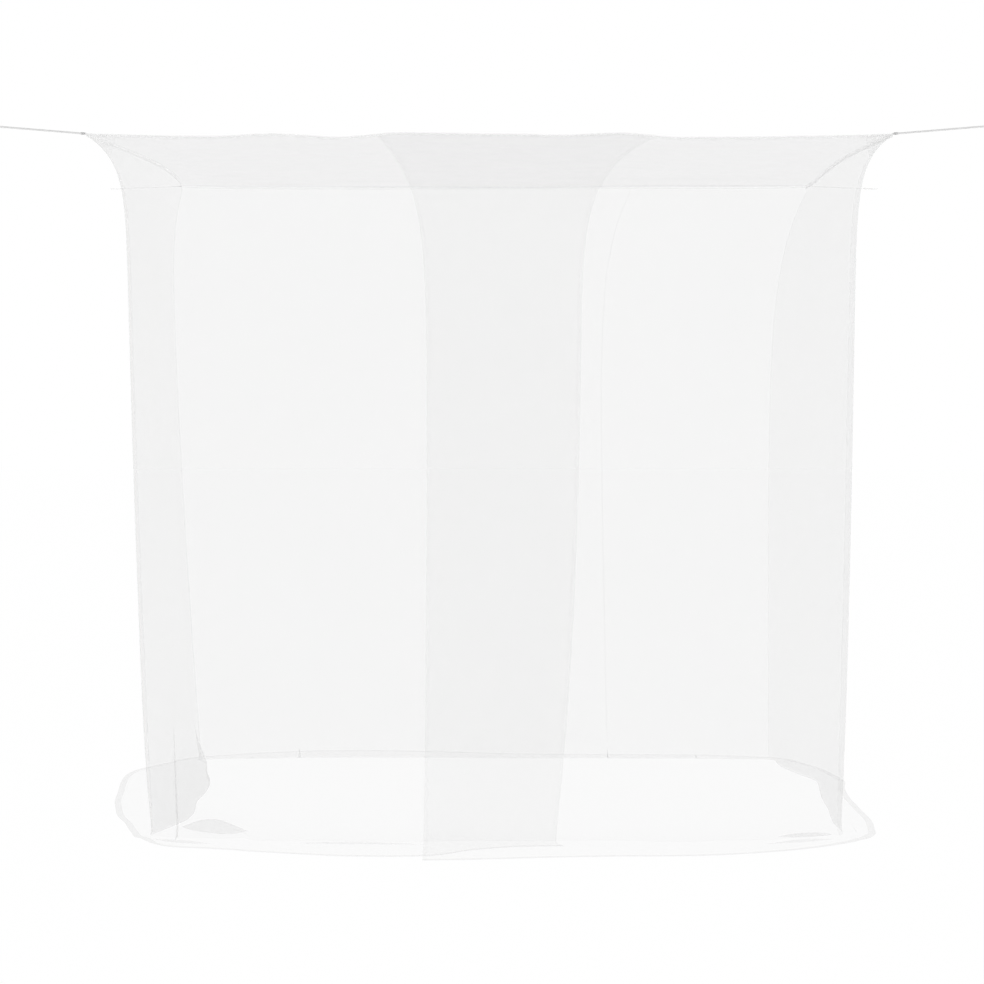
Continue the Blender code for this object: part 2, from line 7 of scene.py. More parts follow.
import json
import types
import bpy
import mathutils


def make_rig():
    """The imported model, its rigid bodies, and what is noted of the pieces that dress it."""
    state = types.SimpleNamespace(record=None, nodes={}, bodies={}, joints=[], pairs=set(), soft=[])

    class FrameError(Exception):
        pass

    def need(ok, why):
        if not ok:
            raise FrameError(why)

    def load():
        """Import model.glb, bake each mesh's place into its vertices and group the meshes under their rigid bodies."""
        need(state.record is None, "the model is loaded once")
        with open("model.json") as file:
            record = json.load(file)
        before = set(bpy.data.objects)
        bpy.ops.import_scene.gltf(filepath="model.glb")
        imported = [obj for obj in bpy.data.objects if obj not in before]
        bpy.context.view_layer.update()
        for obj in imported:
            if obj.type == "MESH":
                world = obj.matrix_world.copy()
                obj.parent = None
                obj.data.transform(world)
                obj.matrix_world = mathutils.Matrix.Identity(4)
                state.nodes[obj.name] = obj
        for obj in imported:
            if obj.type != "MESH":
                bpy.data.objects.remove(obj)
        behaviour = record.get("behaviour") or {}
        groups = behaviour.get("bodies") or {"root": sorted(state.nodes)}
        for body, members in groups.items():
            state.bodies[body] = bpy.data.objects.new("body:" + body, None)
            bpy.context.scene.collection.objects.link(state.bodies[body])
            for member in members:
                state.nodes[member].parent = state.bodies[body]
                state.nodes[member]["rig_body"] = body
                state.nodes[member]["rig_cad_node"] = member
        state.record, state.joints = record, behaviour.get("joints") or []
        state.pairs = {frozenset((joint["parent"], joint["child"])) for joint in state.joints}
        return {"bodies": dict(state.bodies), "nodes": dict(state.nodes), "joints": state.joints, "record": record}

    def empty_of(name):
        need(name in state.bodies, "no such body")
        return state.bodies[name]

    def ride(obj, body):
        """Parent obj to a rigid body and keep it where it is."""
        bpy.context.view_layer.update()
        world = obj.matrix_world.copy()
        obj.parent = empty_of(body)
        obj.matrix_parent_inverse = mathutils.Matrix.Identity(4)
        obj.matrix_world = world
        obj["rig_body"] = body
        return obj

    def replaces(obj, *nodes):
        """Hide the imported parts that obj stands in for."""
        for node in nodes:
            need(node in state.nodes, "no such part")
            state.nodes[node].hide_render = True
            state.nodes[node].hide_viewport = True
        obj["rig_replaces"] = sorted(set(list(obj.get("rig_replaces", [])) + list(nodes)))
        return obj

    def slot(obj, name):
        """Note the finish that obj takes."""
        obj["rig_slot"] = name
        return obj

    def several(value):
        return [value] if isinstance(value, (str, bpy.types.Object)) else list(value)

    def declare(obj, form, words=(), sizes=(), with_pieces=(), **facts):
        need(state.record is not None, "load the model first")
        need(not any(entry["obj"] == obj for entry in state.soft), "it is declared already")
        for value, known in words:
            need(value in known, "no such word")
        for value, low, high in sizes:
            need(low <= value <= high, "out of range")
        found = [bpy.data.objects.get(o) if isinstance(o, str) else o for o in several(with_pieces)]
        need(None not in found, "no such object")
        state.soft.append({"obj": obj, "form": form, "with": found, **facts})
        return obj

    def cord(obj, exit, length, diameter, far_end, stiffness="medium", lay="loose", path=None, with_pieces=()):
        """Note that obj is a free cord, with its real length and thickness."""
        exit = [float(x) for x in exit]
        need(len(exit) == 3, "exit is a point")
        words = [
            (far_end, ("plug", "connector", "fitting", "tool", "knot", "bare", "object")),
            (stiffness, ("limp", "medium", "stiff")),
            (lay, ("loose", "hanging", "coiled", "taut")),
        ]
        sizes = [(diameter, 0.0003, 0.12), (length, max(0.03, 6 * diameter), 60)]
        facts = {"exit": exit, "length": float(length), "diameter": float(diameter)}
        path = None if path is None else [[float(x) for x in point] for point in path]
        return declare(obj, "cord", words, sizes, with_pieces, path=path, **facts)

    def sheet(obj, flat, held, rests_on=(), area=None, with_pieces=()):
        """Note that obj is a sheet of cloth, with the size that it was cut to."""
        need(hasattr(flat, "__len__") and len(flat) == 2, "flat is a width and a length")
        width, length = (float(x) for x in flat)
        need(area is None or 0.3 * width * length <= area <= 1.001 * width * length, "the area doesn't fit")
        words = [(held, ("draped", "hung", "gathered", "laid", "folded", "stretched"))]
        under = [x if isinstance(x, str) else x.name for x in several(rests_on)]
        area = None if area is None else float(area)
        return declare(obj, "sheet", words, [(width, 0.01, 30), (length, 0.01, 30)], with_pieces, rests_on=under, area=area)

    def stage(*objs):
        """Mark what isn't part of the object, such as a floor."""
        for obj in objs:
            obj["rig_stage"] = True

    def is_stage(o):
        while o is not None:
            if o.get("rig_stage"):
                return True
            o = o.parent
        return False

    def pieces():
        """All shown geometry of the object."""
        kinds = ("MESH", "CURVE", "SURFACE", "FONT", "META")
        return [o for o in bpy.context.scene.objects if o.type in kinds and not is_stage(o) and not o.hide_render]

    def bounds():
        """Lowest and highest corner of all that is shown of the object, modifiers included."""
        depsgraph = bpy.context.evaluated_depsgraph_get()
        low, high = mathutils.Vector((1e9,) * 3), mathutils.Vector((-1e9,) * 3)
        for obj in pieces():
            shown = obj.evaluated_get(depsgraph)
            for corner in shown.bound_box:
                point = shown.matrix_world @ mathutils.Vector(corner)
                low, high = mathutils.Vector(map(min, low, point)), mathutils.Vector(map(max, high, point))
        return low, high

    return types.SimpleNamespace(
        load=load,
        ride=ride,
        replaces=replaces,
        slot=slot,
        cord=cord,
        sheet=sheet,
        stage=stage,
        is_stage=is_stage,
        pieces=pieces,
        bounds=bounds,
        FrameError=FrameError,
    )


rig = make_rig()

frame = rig.load()

import json
import logging
from collections.abc import Callable, Sequence
from dataclasses import dataclass, field, replace
from enum import Enum
from functools import cache
from math import copysign, cos, exp, pi, radians, sin, sqrt

import bpy
from mathutils import Vector

CAD_BOX = [list(corner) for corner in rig.bounds()]
SIZE_FILE = "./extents.json"

log = logging.getLogger("canopy")

Pair = tuple[float, float]
Measures = tuple[Pair, ...]
Places = list[Vector]
Piece = bpy.types.Object


# ---- small helpers


def ease(share: float) -> float:
    """A share held between 0 and 1, with a soft start and end."""
    held = min(1.0, max(0.0, share))
    return held * held * (3 - 2 * held)


def evenly(first: float, last: float, steps: int) -> list[float]:
    """Places from first to last in that many equal steps."""
    return [first + (last - first) * step / steps for step in range(steps + 1)]


def arch(along: float, power: float) -> float:
    """1 in the middle of a side and 0 at its corners, the flatter the higher the power."""
    return 1 - abs(2 * along - 1) ** power


def window(place: float) -> float:
    """1 at 0, falling softly to 0 at -1 and 1."""
    return (1 + cos(pi * place)) / 2 if abs(place) < 1 else 0.0


def through(table: Measures, along: float) -> float:
    """The measure of a table at a place, eased from each of its rows to the next.

    Args:
        table: Pairs of a share of the way along a side and the measure there.
        along: Share of the way along the side.

    Returns:
        The measure at that place, and after the last row that row's measure.
    """
    for (before, low), (after, high) in zip(table, table[1:]):
        if along <= after:
            return low + (high - low) * ease((along - before) / (after - before))
    return table[-1][1]


def smoothly(table: Measures, along: float) -> float:
    """The measure of a table at a place, on a smooth curve through its rows.

    Args:
        table: Pairs of a share of the way along a side and the measure there.
        along: Share of the way along the side.

    Returns:
        The measure at that place, and beyond the table's ends that of its first or last row.
    """
    last = len(table) - 1
    index = next((at for at in range(last - 1, 0, -1) if table[at][0] <= along), 0)
    slopes = []
    for at in (index, index + 1):
        (before, low), (after, high) = table[max(0, at - 1)], table[min(last, at + 1)]
        slopes.append((high - low) / (after - before))
    (before, low), (after, high) = table[index], table[index + 1]
    span = after - before
    share = min(1.0, max(0.0, (along - before) / span))
    rest = 1 - share
    bend = span * share * rest * (slopes[0] * rest - slopes[1] * share)
    return low + (high - low) * ease(share) + bend


# ---- the net's form


class CornerName(Enum):
    """The vertical corners of the net, named as seen from the door side."""

    FRONT_LEFT = "front_left"
    FRONT_RIGHT = "front_right"
    BACK_RIGHT = "back_right"
    BACK_LEFT = "back_left"


class SideName(Enum):
    """The sides of the net, walked counterclockwise as seen from above."""

    FRONT = "front"
    RIGHT = "right"
    BACK = "back"
    LEFT = "left"


@dataclass(frozen=True)
class Corner:
    """A vertical corner in plan: the drawn-out tip, the wall below it and the foot.

    ear is the depth over which the wall falls back below held, down to which it hangs plumb,
    hem how far the hem lies out, tie_rise how far the tie climbs and tie its diameter.
    """

    tip: Pair
    wall: Pair
    foot: Pair
    ear: float
    hem: float
    held: float = 0.006
    tie_rise: float = 0.0
    tie: float = 0.006


@dataclass(frozen=True)
class Fold:
    """A train of soft vertical folds: folds a side, height, first shift and drift downwards."""

    count: float
    height: float
    start: float
    drift: float


@dataclass(frozen=True)
class Tuck:
    """A pleat that laps over itself near the floor.

    along is its middle as a share of the side, width its half width, lap how far the cloth
    laps sideways, apart how far its layers stand apart, and rise the height at which it ends.
    """

    along: float
    width: float
    lap: float
    apart: float
    rise: float


@dataclass(frozen=True)
class Ruck:
    """A flat fold of the hem's cloth, lying on the floor along a stretch of a side.

    first and last are its ends as shares of the side, at how far out it lies from the foot as a
    share of the hem's reach, width its half width, lap and rise how far it laps and stands up.
    """

    first: float
    last: float
    at: float
    width: float
    lap: float
    rise: float


@dataclass(frozen=True)
class Slump:
    """A stretch of a wall that sank and laps over itself like a step, just above its foot.

    along is its middle and width its half width as shares of the side, height its level and
    half how far it reaches up and down, lap how far it laps and apart how far it stands out.
    """

    along: float
    width: float
    height: float
    half: float
    lap: float
    apart: float


@dataclass(frozen=True)
class Side:
    """A side between two corners, with the bow of its roof edge and the belly of its wall.

    rises is how uneven the roof's edge is, and feet how far the wall's foot stands out.
    """

    start: CornerName
    end: CornerName
    outward: Pair
    roof_bow: float
    wall_belly: float
    foot_belly: float
    rises: Measures
    folds: tuple[Fold, ...]
    bow_lean: float = 0.0
    feet: Measures = ((0.0, 0.0), (1.0, 0.0))
    tucks: tuple[Tuck, ...] = ()
    slumps: tuple[Slump, ...] = ()
    rucks: tuple[Ruck, ...] = ()


@dataclass(frozen=True)
class Row:
    """A level of a wall. On the floor, out is the share of the hem's reach."""

    height: float
    out: float


@dataclass(frozen=True)
class FreeEdge:
    """The X of a door panel's free edge: it swings in below the roof and then hangs."""

    hung: float
    swing: float
    swing_depth: float
    sway: float


CORNERS = {
    CornerName.FRONT_LEFT: Corner((-1.1445, -1.0), (-1.038, -0.90), (-0.980, -0.87), 0.07, 0.034),
    CornerName.FRONT_RIGHT: Corner((1.130, -1.0), (1.026, -0.90), (0.997, -0.87), 0.07, 0.064),
    CornerName.BACK_RIGHT: Corner(
        (1.108, 1.0), (0.968, 0.925), (0.965, 0.83), 0.24, 0.055, 0.024, 0.009, 0.003
    ),
    CornerName.BACK_LEFT: Corner(
        (-1.094, 1.0), (-1.130, 0.970), (-1.015, 0.83), 0.12, 0.055, 0.024, 0.009, 0.003
    ),
}
SIDES = {
    SideName.FRONT: Side(
        CornerName.FRONT_LEFT, CornerName.FRONT_RIGHT, (0, -1),
        roof_bow=0.038,
        wall_belly=0.045,
        foot_belly=0.100,
        rises=(
            (0.15, 0.000), (0.23, 0.009), (0.31, 0.000), (0.39, 0.013),
            (0.53, 0.009), (0.59, 0.006), (0.66, 0.012), (0.74, -0.001),
        ),
        folds=(Fold(5.0, 0.006, 0.10, 0.20), Fold(8.3, 0.003, 0.60, -0.30)),
        tucks=(
            Tuck(0.039, 0.012, 0.0100, 0.002, 0.550),
            Tuck(0.986, 0.022, 0.007, 0.003, 0.560),
        ),
        slumps=(
            Slump(0.094, 0.052, 0.036, 0.036, 0.046, 0.016),
            Slump(0.112, 0.040, 0.016, 0.014, 0.014, 0.006),
            Slump(0.950, 0.046, 0.013, 0.012, 0.015, 0.006),
        ),
        rucks=(
            Ruck(0.180, 0.430, 0.20, 0.022, 0.010, 0.009),
            Ruck(0.000, 0.110, 0.50, 0.035, 0.020, 0.010),
            Ruck(0.870, 0.990, 0.35, 0.035, 0.020, 0.010),
        ),
    ),
    SideName.RIGHT: Side(
        CornerName.FRONT_RIGHT, CornerName.BACK_RIGHT, (1, 0),
        roof_bow=0.035,
        bow_lean=0.6,
        wall_belly=0.049,
        foot_belly=0.046,
        rises=((0.0, 0.0), (0.4, 0.002), (1.0, 0.0)),
        folds=(Fold(3.6, 0.002, 0.75, 0.25), Fold(6.1, 0.0005, 0.05, -0.20)),
        feet=(
            (0.00, 0.000), (0.13, -0.038), (0.40, -0.016), (0.57, 0.012),
            (0.67, 0.024), (0.78, -0.020), (0.89, -0.040), (1.00, 0.000),
        ),
        rucks=(Ruck(0.010, 0.150, 0.50, 0.032, 0.018, 0.012),),
    ),
    SideName.BACK: Side(
        CornerName.BACK_RIGHT, CornerName.BACK_LEFT, (0, 1),
        roof_bow=0.035,
        wall_belly=0.020,
        foot_belly=0.015,
        rises=((0.0, 0.0), (0.3, 0.002), (0.6, -0.001), (1.0, 0.0)),
        folds=(Fold(4.4, 0.008, 0.50, 0.15), Fold(7.7, 0.004, 0.20, 0.30)),
        tucks=(
            Tuck(0.827, 0.050, 0.034, 0.006, 0.045),
            Tuck(0.283, 0.022, 0.014, 0.004, 0.060),
            Tuck(0.128, 0.040, 0.024, 0.005, 0.024),
            Tuck(0.560, 0.030, 0.018, 0.004, 0.022),
        ),
    ),
    SideName.LEFT: Side(
        CornerName.BACK_LEFT, CornerName.FRONT_LEFT, (-1, 0),
        roof_bow=0.066,
        wall_belly=-0.022,
        foot_belly=0.034,
        rises=((0.0, 0.0), (0.5, -0.001), (1.0, 0.0)),
        folds=(Fold(3.1, 0.003, 0.70, -0.20), Fold(5.3, 0.001, 0.40, 0.25)),
        feet=(
            (0.00, 0.000), (0.07, -0.070), (0.15, -0.100), (0.36, -0.162),
            (0.60, -0.158), (0.81, -0.148), (0.92, -0.080), (1.00, 0.000),
        ),
    ),
}
# How far each cloth's hem lies out between the corners, along its side.
HEMS: dict[str, Measures] = {
    "back_cloth": (
        (0.12, 0.120), (0.30, 0.135), (0.45, 0.155), (0.58, 0.222),
        (0.70, 0.246), (0.80, 0.238), (0.91, 0.155),
    ),
    "side_cloth_left": (
        (0.12, 0.215), (0.22, 0.297), (0.35, 0.331), (0.50, 0.316),
        (0.64, 0.288), (0.78, 0.247), (0.90, 0.148),
    ),
    "side_cloth_right": (
        (0.07, 0.113), (0.19, 0.130), (0.34, 0.112), (0.60, 0.092), (0.85, 0.142),
    ),
    "door_cloth_left": (
        (0.04, 0.135), (0.11, 0.155), (0.19, 0.200), (0.30, 0.255),
        (0.41, 0.240), (0.46, 0.150), (0.52, 0.090), (0.61, 0.070),
    ),
    "door_cloth_right": (
        (0.38, 0.345), (0.46, 0.330), (0.58, 0.290), (0.72, 0.262), (0.85, 0.207), (0.93, 0.148),
    ),
}
# A wall's levels from its hem's edge up to where it starts to hang, as height and share out.
FLOOR = ((0, 1), (0, 0.68), (0, 0.36), (0.003, 0.15), (0.014, 0.05), (0.045, 0.01), (0.11, 0))


@dataclass(frozen=True)
class NetForm:
    """The shape that the net's cloth takes, hung by its four ties."""

    hang_height: float = 2.008
    tip_rise: float = 0.007
    tip_curve: int = 6
    cloth: float = 0.0012
    roof_sag: float = 0.016
    wall_inset: float = 0.0005
    wall_drop: float = 0.004
    foot_slant: float = 1.5
    corner_radius: float = 0.05
    square_depth: float = 0.05
    tape_hold: float = 0.024
    edge_depth: float = 0.10
    fold_depth: float = 0.35
    fold_ease: float = 0.30
    fold_flat: float = 0.35
    foot_height: float = 0.12
    middle: Vector = field(default_factory=lambda: Vector((0.040, 0.110, 0.0)))
    corners: dict[CornerName, Corner] = field(default_factory=lambda: CORNERS)
    sides: dict[SideName, Side] = field(default_factory=lambda: SIDES)
    belly_power: int = 4
    tuck_reach: float = 1.1
    ruck_bluntness: float = 0.5
    slump_bluntness: float = 0.3
    slump_wander: float = 0.15
    slump_bow: Pair = (2.2, 0.4)

    def drawn(self, depth: float, held: float, ear: float) -> float:
        """How much of the roof edge's own place a wall has at a depth: 1 down to held."""
        return exp(-max(0.0, depth - held) / ear)

    def leaning(self, depth: float) -> float:
        """The share of its lean towards the foot that a wall has at a depth."""
        return (depth / self.hang_height) ** self.foot_slant

    def corner_place(self, name: CornerName, depth: float) -> Vector:
        """A corner's plan position at a depth below the roof's edge."""
        corner = self.corners[name]
        wall = Vector(corner.wall).lerp(Vector(corner.foot), self.leaning(depth))
        return wall.lerp(Vector(corner.tip), self.drawn(depth, corner.held, corner.ear))

    def tips(self, side: SideName) -> list[Vector]:
        """The tips in plan at a side's start and end."""
        run = self.sides[side]
        return [Vector(self.corners[name].tip) for name in (run.start, run.end)]

    def edge_place(self, side: SideName, along: float) -> Vector:
        """A point on the roof's edge, drawn in between the tips and a little uneven.

        Args:
            side: The side of the net.
            along: Share of the way along it.

        Returns:
            The point, before it is moved to the net's middle.
        """
        run = self.sides[side]
        start, end = self.tips(side)
        inwards = run.roof_bow * arch(along, 2) * (1 + run.bow_lean * (1 - 2 * along))
        place = start.lerp(end, along) - Vector(run.outward) * inwards
        to_tip = abs(2 * along - 1) ** self.tip_curve
        height = self.hang_height + self.tip_rise * to_tip + through(run.rises, along)
        return Vector((*place, height))

    def along_edge(self, side: SideName, place: Vector) -> float:
        """The share of the way along the roof's edge that lies straight above a place."""
        start, end = self.tips(side)
        share = (place - start).dot(end - start) / (end - start).length_squared
        return min(1.0, max(0.0, share))

    def rounding(self, distance: float) -> float:
        """How far a soft corner's arc stands out at a distance along the wall."""
        half = self.corner_radius * sqrt(0.5)
        across = max(0.0, half - distance)
        return sqrt(self.corner_radius**2 - across**2) - half

    def folded(self, side: SideName, along: float, depth: float, length: float) -> float:
        """The outward shift of a wall's folds.

        Args:
            side: The side of the net.
            along: Share of the way along it.
            depth: Depth below the roof's edge.
            length: The side's length at that depth.

        Returns:
            The shift, which grows down the wall and fades at its corners.
        """
        total = sum(
            fold.height * sin(2 * pi * (fold.count * along + fold.start + fold.drift * depth))
            for fold in self.sides[side].folds
        )
        grown = 1 - exp(-depth / self.fold_depth)
        return total * grown * ease(min(along, 1 - along) * length / self.fold_ease)

    def tucked(self, side: SideName, along: float, row: Row, length: float) -> Pair:
        """The sideways and outward shift of the tucks near a wall's foot."""
        across = out = 0.0
        for tuck in self.sides[side].tucks:
            place = (along - tuck.along) * length / tuck.width
            if abs(place) < 1:
                fade = exp(-((row.height / tuck.rise) ** 2)) * window(row.out * self.tuck_reach)
                wave = sin(pi * place)
                across -= tuck.lap * wave * window(place) * fade
                out += tuck.apart * wave * fade
        return across, out

    def rucked(self, side: SideName, along: float, out: float, reach: float) -> Pair:
        """The outward shift and the height of the rucks in the cloth on the floor."""
        shift = height = 0.0
        for ruck in self.sides[side].rucks:
            place = (out - ruck.at) * reach / ruck.width
            if abs(place) < 1 and ruck.first < along < ruck.last:
                half = (ruck.last - ruck.first) / 2
                fade = window((along - ruck.first - half) / half) ** self.ruck_bluntness
                wave = sin(pi * place)
                shift -= ruck.lap * wave * window(place) * fade
                height += ruck.rise * (1 + wave) / 2 * min(1.0, 2 * (1 - abs(place))) * fade
        return shift, height

    def slumped(self, side: SideName, along: float, row: Row) -> Pair:
        """The outward shift and the drop of the slumps just above a wall's foot."""
        out = drop = 0.0
        bows, shift = self.slump_bow
        for slump in self.sides[side].slumps:
            across = (along - slump.along) / slump.width
            wander = -self.slump_wander * cos(bows * across + shift)
            level = (row.height - slump.height) / slump.half + wander
            if abs(across) < 1 and abs(level) < 1:
                wave = sin(pi * level) * window(across) ** self.slump_bluntness
                out += slump.apart * wave
                drop += slump.lap * wave * window(level)
        return out, drop

    def wall_place(
        self, side: SideName, hem: Measures, along: float, row: Row, behind: float, lift: float
    ) -> Vector:
        """A point on the outer face of a wall or of its hem.

        Args:
            side: The side of the net.
            hem: How far the hem lies out along the side.
            along: Share of the way from the side's start corner to its end.
            row: The level of the wall.
            behind: How far the cloth hangs inside the wall's face.
            lift: How far the part on the floor lies above the floor's first layer.

        Returns:
            The point in the part's own frame.
        """
        run = self.sides[side]
        depth = self.hang_height - row.height
        outward = Vector(run.outward)
        sideways = Vector((-outward.y, outward.x))
        corners = self.corners[run.start], self.corners[run.end]
        lean = self.leaning(depth)
        start, end = (Vector(corner.wall).lerp(Vector(corner.foot), lean) for corner in corners)
        length = (end - start).length
        near = min(along, 1 - along) * length
        sharp = exp(-depth / self.square_depth)
        reach = smoothly(hem, along)
        across, tucked_out = self.tucked(side, along, row, length)
        rucked_out, rucked_up = self.rucked(side, along, row.out, reach)
        slumped_out, drop = self.slumped(side, along, row)

        belly = run.wall_belly + (run.foot_belly - run.wall_belly) * lean
        out = belly * arch(along, self.belly_power)
        out += self.rounding(near) * (1 - sharp)
        out += self.folded(side, along, depth, length) * (1 - ease(row.out / self.fold_flat))
        out += smoothly(run.feet, along) * exp(-row.height / self.foot_height)
        out += reach * row.out + tucked_out + rucked_out + slumped_out
        spread = corners[1].hem * along - corners[0].hem * (1 - along)
        place = start.lerp(end, along) + outward * out
        place += sideways * (spread * row.out + across)

        edge = self.edge_place(side, along)
        ear = corners[0].ear + (corners[1].ear - corners[0].ear) * along
        held = corners[0].held + (corners[1].held - corners[0].held) * along
        place = place.lerp(edge.xy, self.drawn(depth, held, ear))
        if depth < self.tape_hold:
            above = self.edge_place(side, self.along_edge(side, place)).xy
            place -= outward * max(0.0, (place - above).dot(outward))
        place -= outward * (self.wall_inset + behind)

        risen = (edge.z - self.hang_height) * exp(-depth / self.edge_depth)
        height = row.height + risen - drop
        near_floor = exp(-row.height / self.edge_depth)
        height = max(height, self.cloth) + lift * near_floor + rucked_up
        return Vector((*place, height)) + self.middle

    def roof_place(self, across: float, back: float) -> Vector:
        """A point of the roof: ruled both ways between its edges, less the plain ruling.

        Args:
            across: Share of the way from the left edge to the right one.
            back: Share of the way from the front edge to the back one.

        Returns:
            The point, before it is moved to the net's middle.
        """
        front = self.edge_place(SideName.FRONT, across)
        rear = self.edge_place(SideName.BACK, 1 - across)
        left = self.edge_place(SideName.LEFT, 1 - back)
        right = self.edge_place(SideName.RIGHT, back)
        place = front.lerp(rear, back) + left.lerp(right, across)
        front_left, front_right = self.tips(SideName.FRONT)
        back_right, back_left = self.tips(SideName.BACK)
        plain = front_left.lerp(front_right, across).lerp(back_left.lerp(back_right, across), back)
        place -= Vector((*plain, self.hang_height + self.tip_rise))
        place.z -= self.roof_sag * arch(across, 2) * arch(back, 2)
        return place

    def level(self, step: float) -> Row:
        """The level at a step through the floor rows, rounded between them.

        Args:
            step: 0 at the hem, and the floor rows' last index where the wall starts to hang.

        Returns:
            The level there, on a smooth curve through the rows.
        """
        last = len(FLOOR) - 1
        index = min(int(step), last - 1)
        share = step - index
        rows = [FLOOR[min(last, max(0, index + shift))] for shift in (-1, 0, 1, 2)]

        def between(a: float, b: float, c: float, d: float) -> float:
            """The smooth curve through b and c, led by their neighbours a and d."""
            bend = 2 * a - 5 * b + 4 * c - d
            twist = -a + 3 * b - 3 * c + d
            return b + share * ((c - a) + share * (bend + share * twist)) / 2

        height, out = (between(*measures) for measures in zip(*rows))
        return Row(max(0.0, height), min(1.0, max(0.0, out)))

    def levels(self, floor_steps: int, wall_steps: int) -> list[Row]:
        """The levels of a wall's cloth, from its hem to the roof.

        Args:
            floor_steps: How many steps lie on the floor and in the bend.
            wall_steps: How many steps hang, closer together near the roof.

        Returns:
            The levels, from the hem upwards.
        """
        lying = [self.level(step) for step in evenly(0.0, len(FLOOR) - 1, floor_steps)]
        foot, top = FLOOR[-1][0], self.hang_height - self.wall_drop
        hanging = [
            Row(foot + (top - foot) * sin(share * pi / 2), 0.0)
            for share in evenly(0.0, 1.0, wall_steps)
        ]
        return lying + hanging[1:]


# ---- finishes


class NodeBoard:
    """A node tree with short calls to place and wire its nodes."""

    def __init__(self, tree: bpy.types.NodeTree) -> None:
        """Keeps the tree."""
        self.tree = tree

    def fill(self, node: bpy.types.Node, values: dict[str | int, object]) -> None:
        """Gives a node's inputs their links or their own values.

        Args:
            node: The node.
            values: A socket or a constant for each input, by its name or its index.
        """
        for name, value in values.items():
            if isinstance(value, bpy.types.NodeSocket):
                self.tree.links.new(value, node.inputs[name])
            else:
                node.inputs[name].default_value = value

    def node(
        self, kind: str, values: dict[str | int, object] | None = None, **settings: object
    ) -> bpy.types.Node:
        """A new node of a kind.

        Args:
            kind: The node's type.
            values: What its inputs get.
            settings: Its own settings.

        Returns:
            The node.
        """
        made = self.tree.nodes.new(kind)
        for name, value in settings.items():
            setattr(made, name, value)
        self.fill(made, values or {})
        return made

    def math(self, operation: str, *values: object) -> bpy.types.NodeSocket:
        """The result of a math node over sockets and numbers."""
        made = self.node("ShaderNodeMath", dict(enumerate(values)), operation=operation)
        return made.outputs[0]

    def noise(self, values: dict[str | int, object]) -> bpy.types.NodeSocket:
        """The tone of a noise in space."""
        return self.node("ShaderNodeTexNoise", values, noise_dimensions="3D").outputs["Fac"]


def effect_group(
    name: str, inputs: dict[str, float | None], outputs: Sequence[str]
) -> tuple[NodeBoard, bpy.types.NodeOutputs]:
    """A new node group for an effect that several finishes share.

    Args:
        name: The group's name.
        inputs: The value of each input, or None for an input that takes a place.
        outputs: The names of its value outputs.

    Returns:
        Its board and the sockets that its inputs come in by.
    """
    tree = bpy.data.node_groups.new(name, "ShaderNodeTree")
    for label, value in inputs.items():
        kind = "NodeSocketVector" if value is None else "NodeSocketFloat"
        socket = tree.interface.new_socket(label, in_out="INPUT", socket_type=kind)
        if value is not None:
            socket.default_value = value
    for label in outputs:
        tree.interface.new_socket(label, in_out="OUTPUT", socket_type="NodeSocketFloat")
    board = NodeBoard(tree)
    return board, board.node("NodeGroupInput").outputs


@cache
def netting_effect() -> bpy.types.NodeTree:
    """Knitted netting: two sets of threads, slightly slubbed, that cross at a pitch."""
    inputs = {"Threads": None, "Pitch": 0.0018, "Thinness": 6.0, "Slub": 0.35}
    board, given = effect_group("netting", inputs, ("Thread", "Height"))
    split = board.node("ShaderNodeSeparateXYZ", {0: given["Threads"]})
    turns = board.math("DIVIDE", pi, given["Pitch"])
    sets = []
    for axis in (0, 1):
        wave = board.math("SINE", board.math("MULTIPLY", split.outputs[axis], turns))
        sets.append(board.math("POWER", board.math("ABSOLUTE", wave), given["Thinness"]))
    threads = board.math("MAXIMUM", *sets)
    slub = board.noise({"Scale": 90.0, "Detail": 2.0, "Vector": given["Threads"]})
    height = board.math("ADD", threads, board.math("MULTIPLY", slub, given["Slub"]))
    board.node("NodeGroupOutput", {"Thread": threads, "Height": height})
    return board.tree


@cache
def handling_effect() -> bpy.types.NodeTree:
    """The soft unevenness of cloth that was packed, hung and handled."""
    inputs = {"Place": None, "Size": 3.0, "Creases": 9.0}
    board, given = effect_group("handling", inputs, ("Tone", "Crumple"))
    where, size, creases = given["Place"], given["Size"], given["Creases"]
    broad = board.noise({"Detail": 3.0, "Roughness": 0.45, "Vector": where, "Scale": size})
    fine = board.noise({"Detail": 4.0, "Distortion": 0.6, "Vector": where, "Scale": creases})
    ridge = board.math("ABSOLUTE", board.math("SUBTRACT", fine, 0.5))
    crumple = board.math("SUBTRACT", 1.0, ridge)
    board.node("NodeGroupOutput", {"Tone": broad, "Crumple": crumple})
    return board.tree


@cache
def stitching_effect() -> bpy.types.NodeTree:
    """A row of lockstitches along the cloth's own X, at a distance from its edge."""
    inputs = {"Threads": None, "Stitch": 0.0035, "From Edge": 0.003, "Thread Width": 0.0006}
    board, given = effect_group("stitching", inputs, ("Stitch", "Pucker"))
    split = board.node("ShaderNodeSeparateXYZ", {0: given["Threads"]})
    turns = board.math("DIVIDE", 2 * pi, given["Stitch"])
    run = board.math("SINE", board.math("MULTIPLY", split.outputs[0], turns))
    off = board.math("SUBTRACT", split.outputs[1], given["From Edge"])
    away = board.math("DIVIDE", board.math("ABSOLUTE", off), given["Thread Width"])
    row = board.math("SUBTRACT", 1.0, board.math("MINIMUM", away, 1.0))
    stitch = board.math("MULTIPLY", row, board.math("GREATER_THAN", run, -0.4))
    pull = board.math("MULTIPLY", board.math("ADD", run, 1.0), 0.25)
    pucker = board.math("MULTIPLY", pull, row)
    board.node("NodeGroupOutput", {"Stitch": stitch, "Pucker": pucker})
    return board.tree


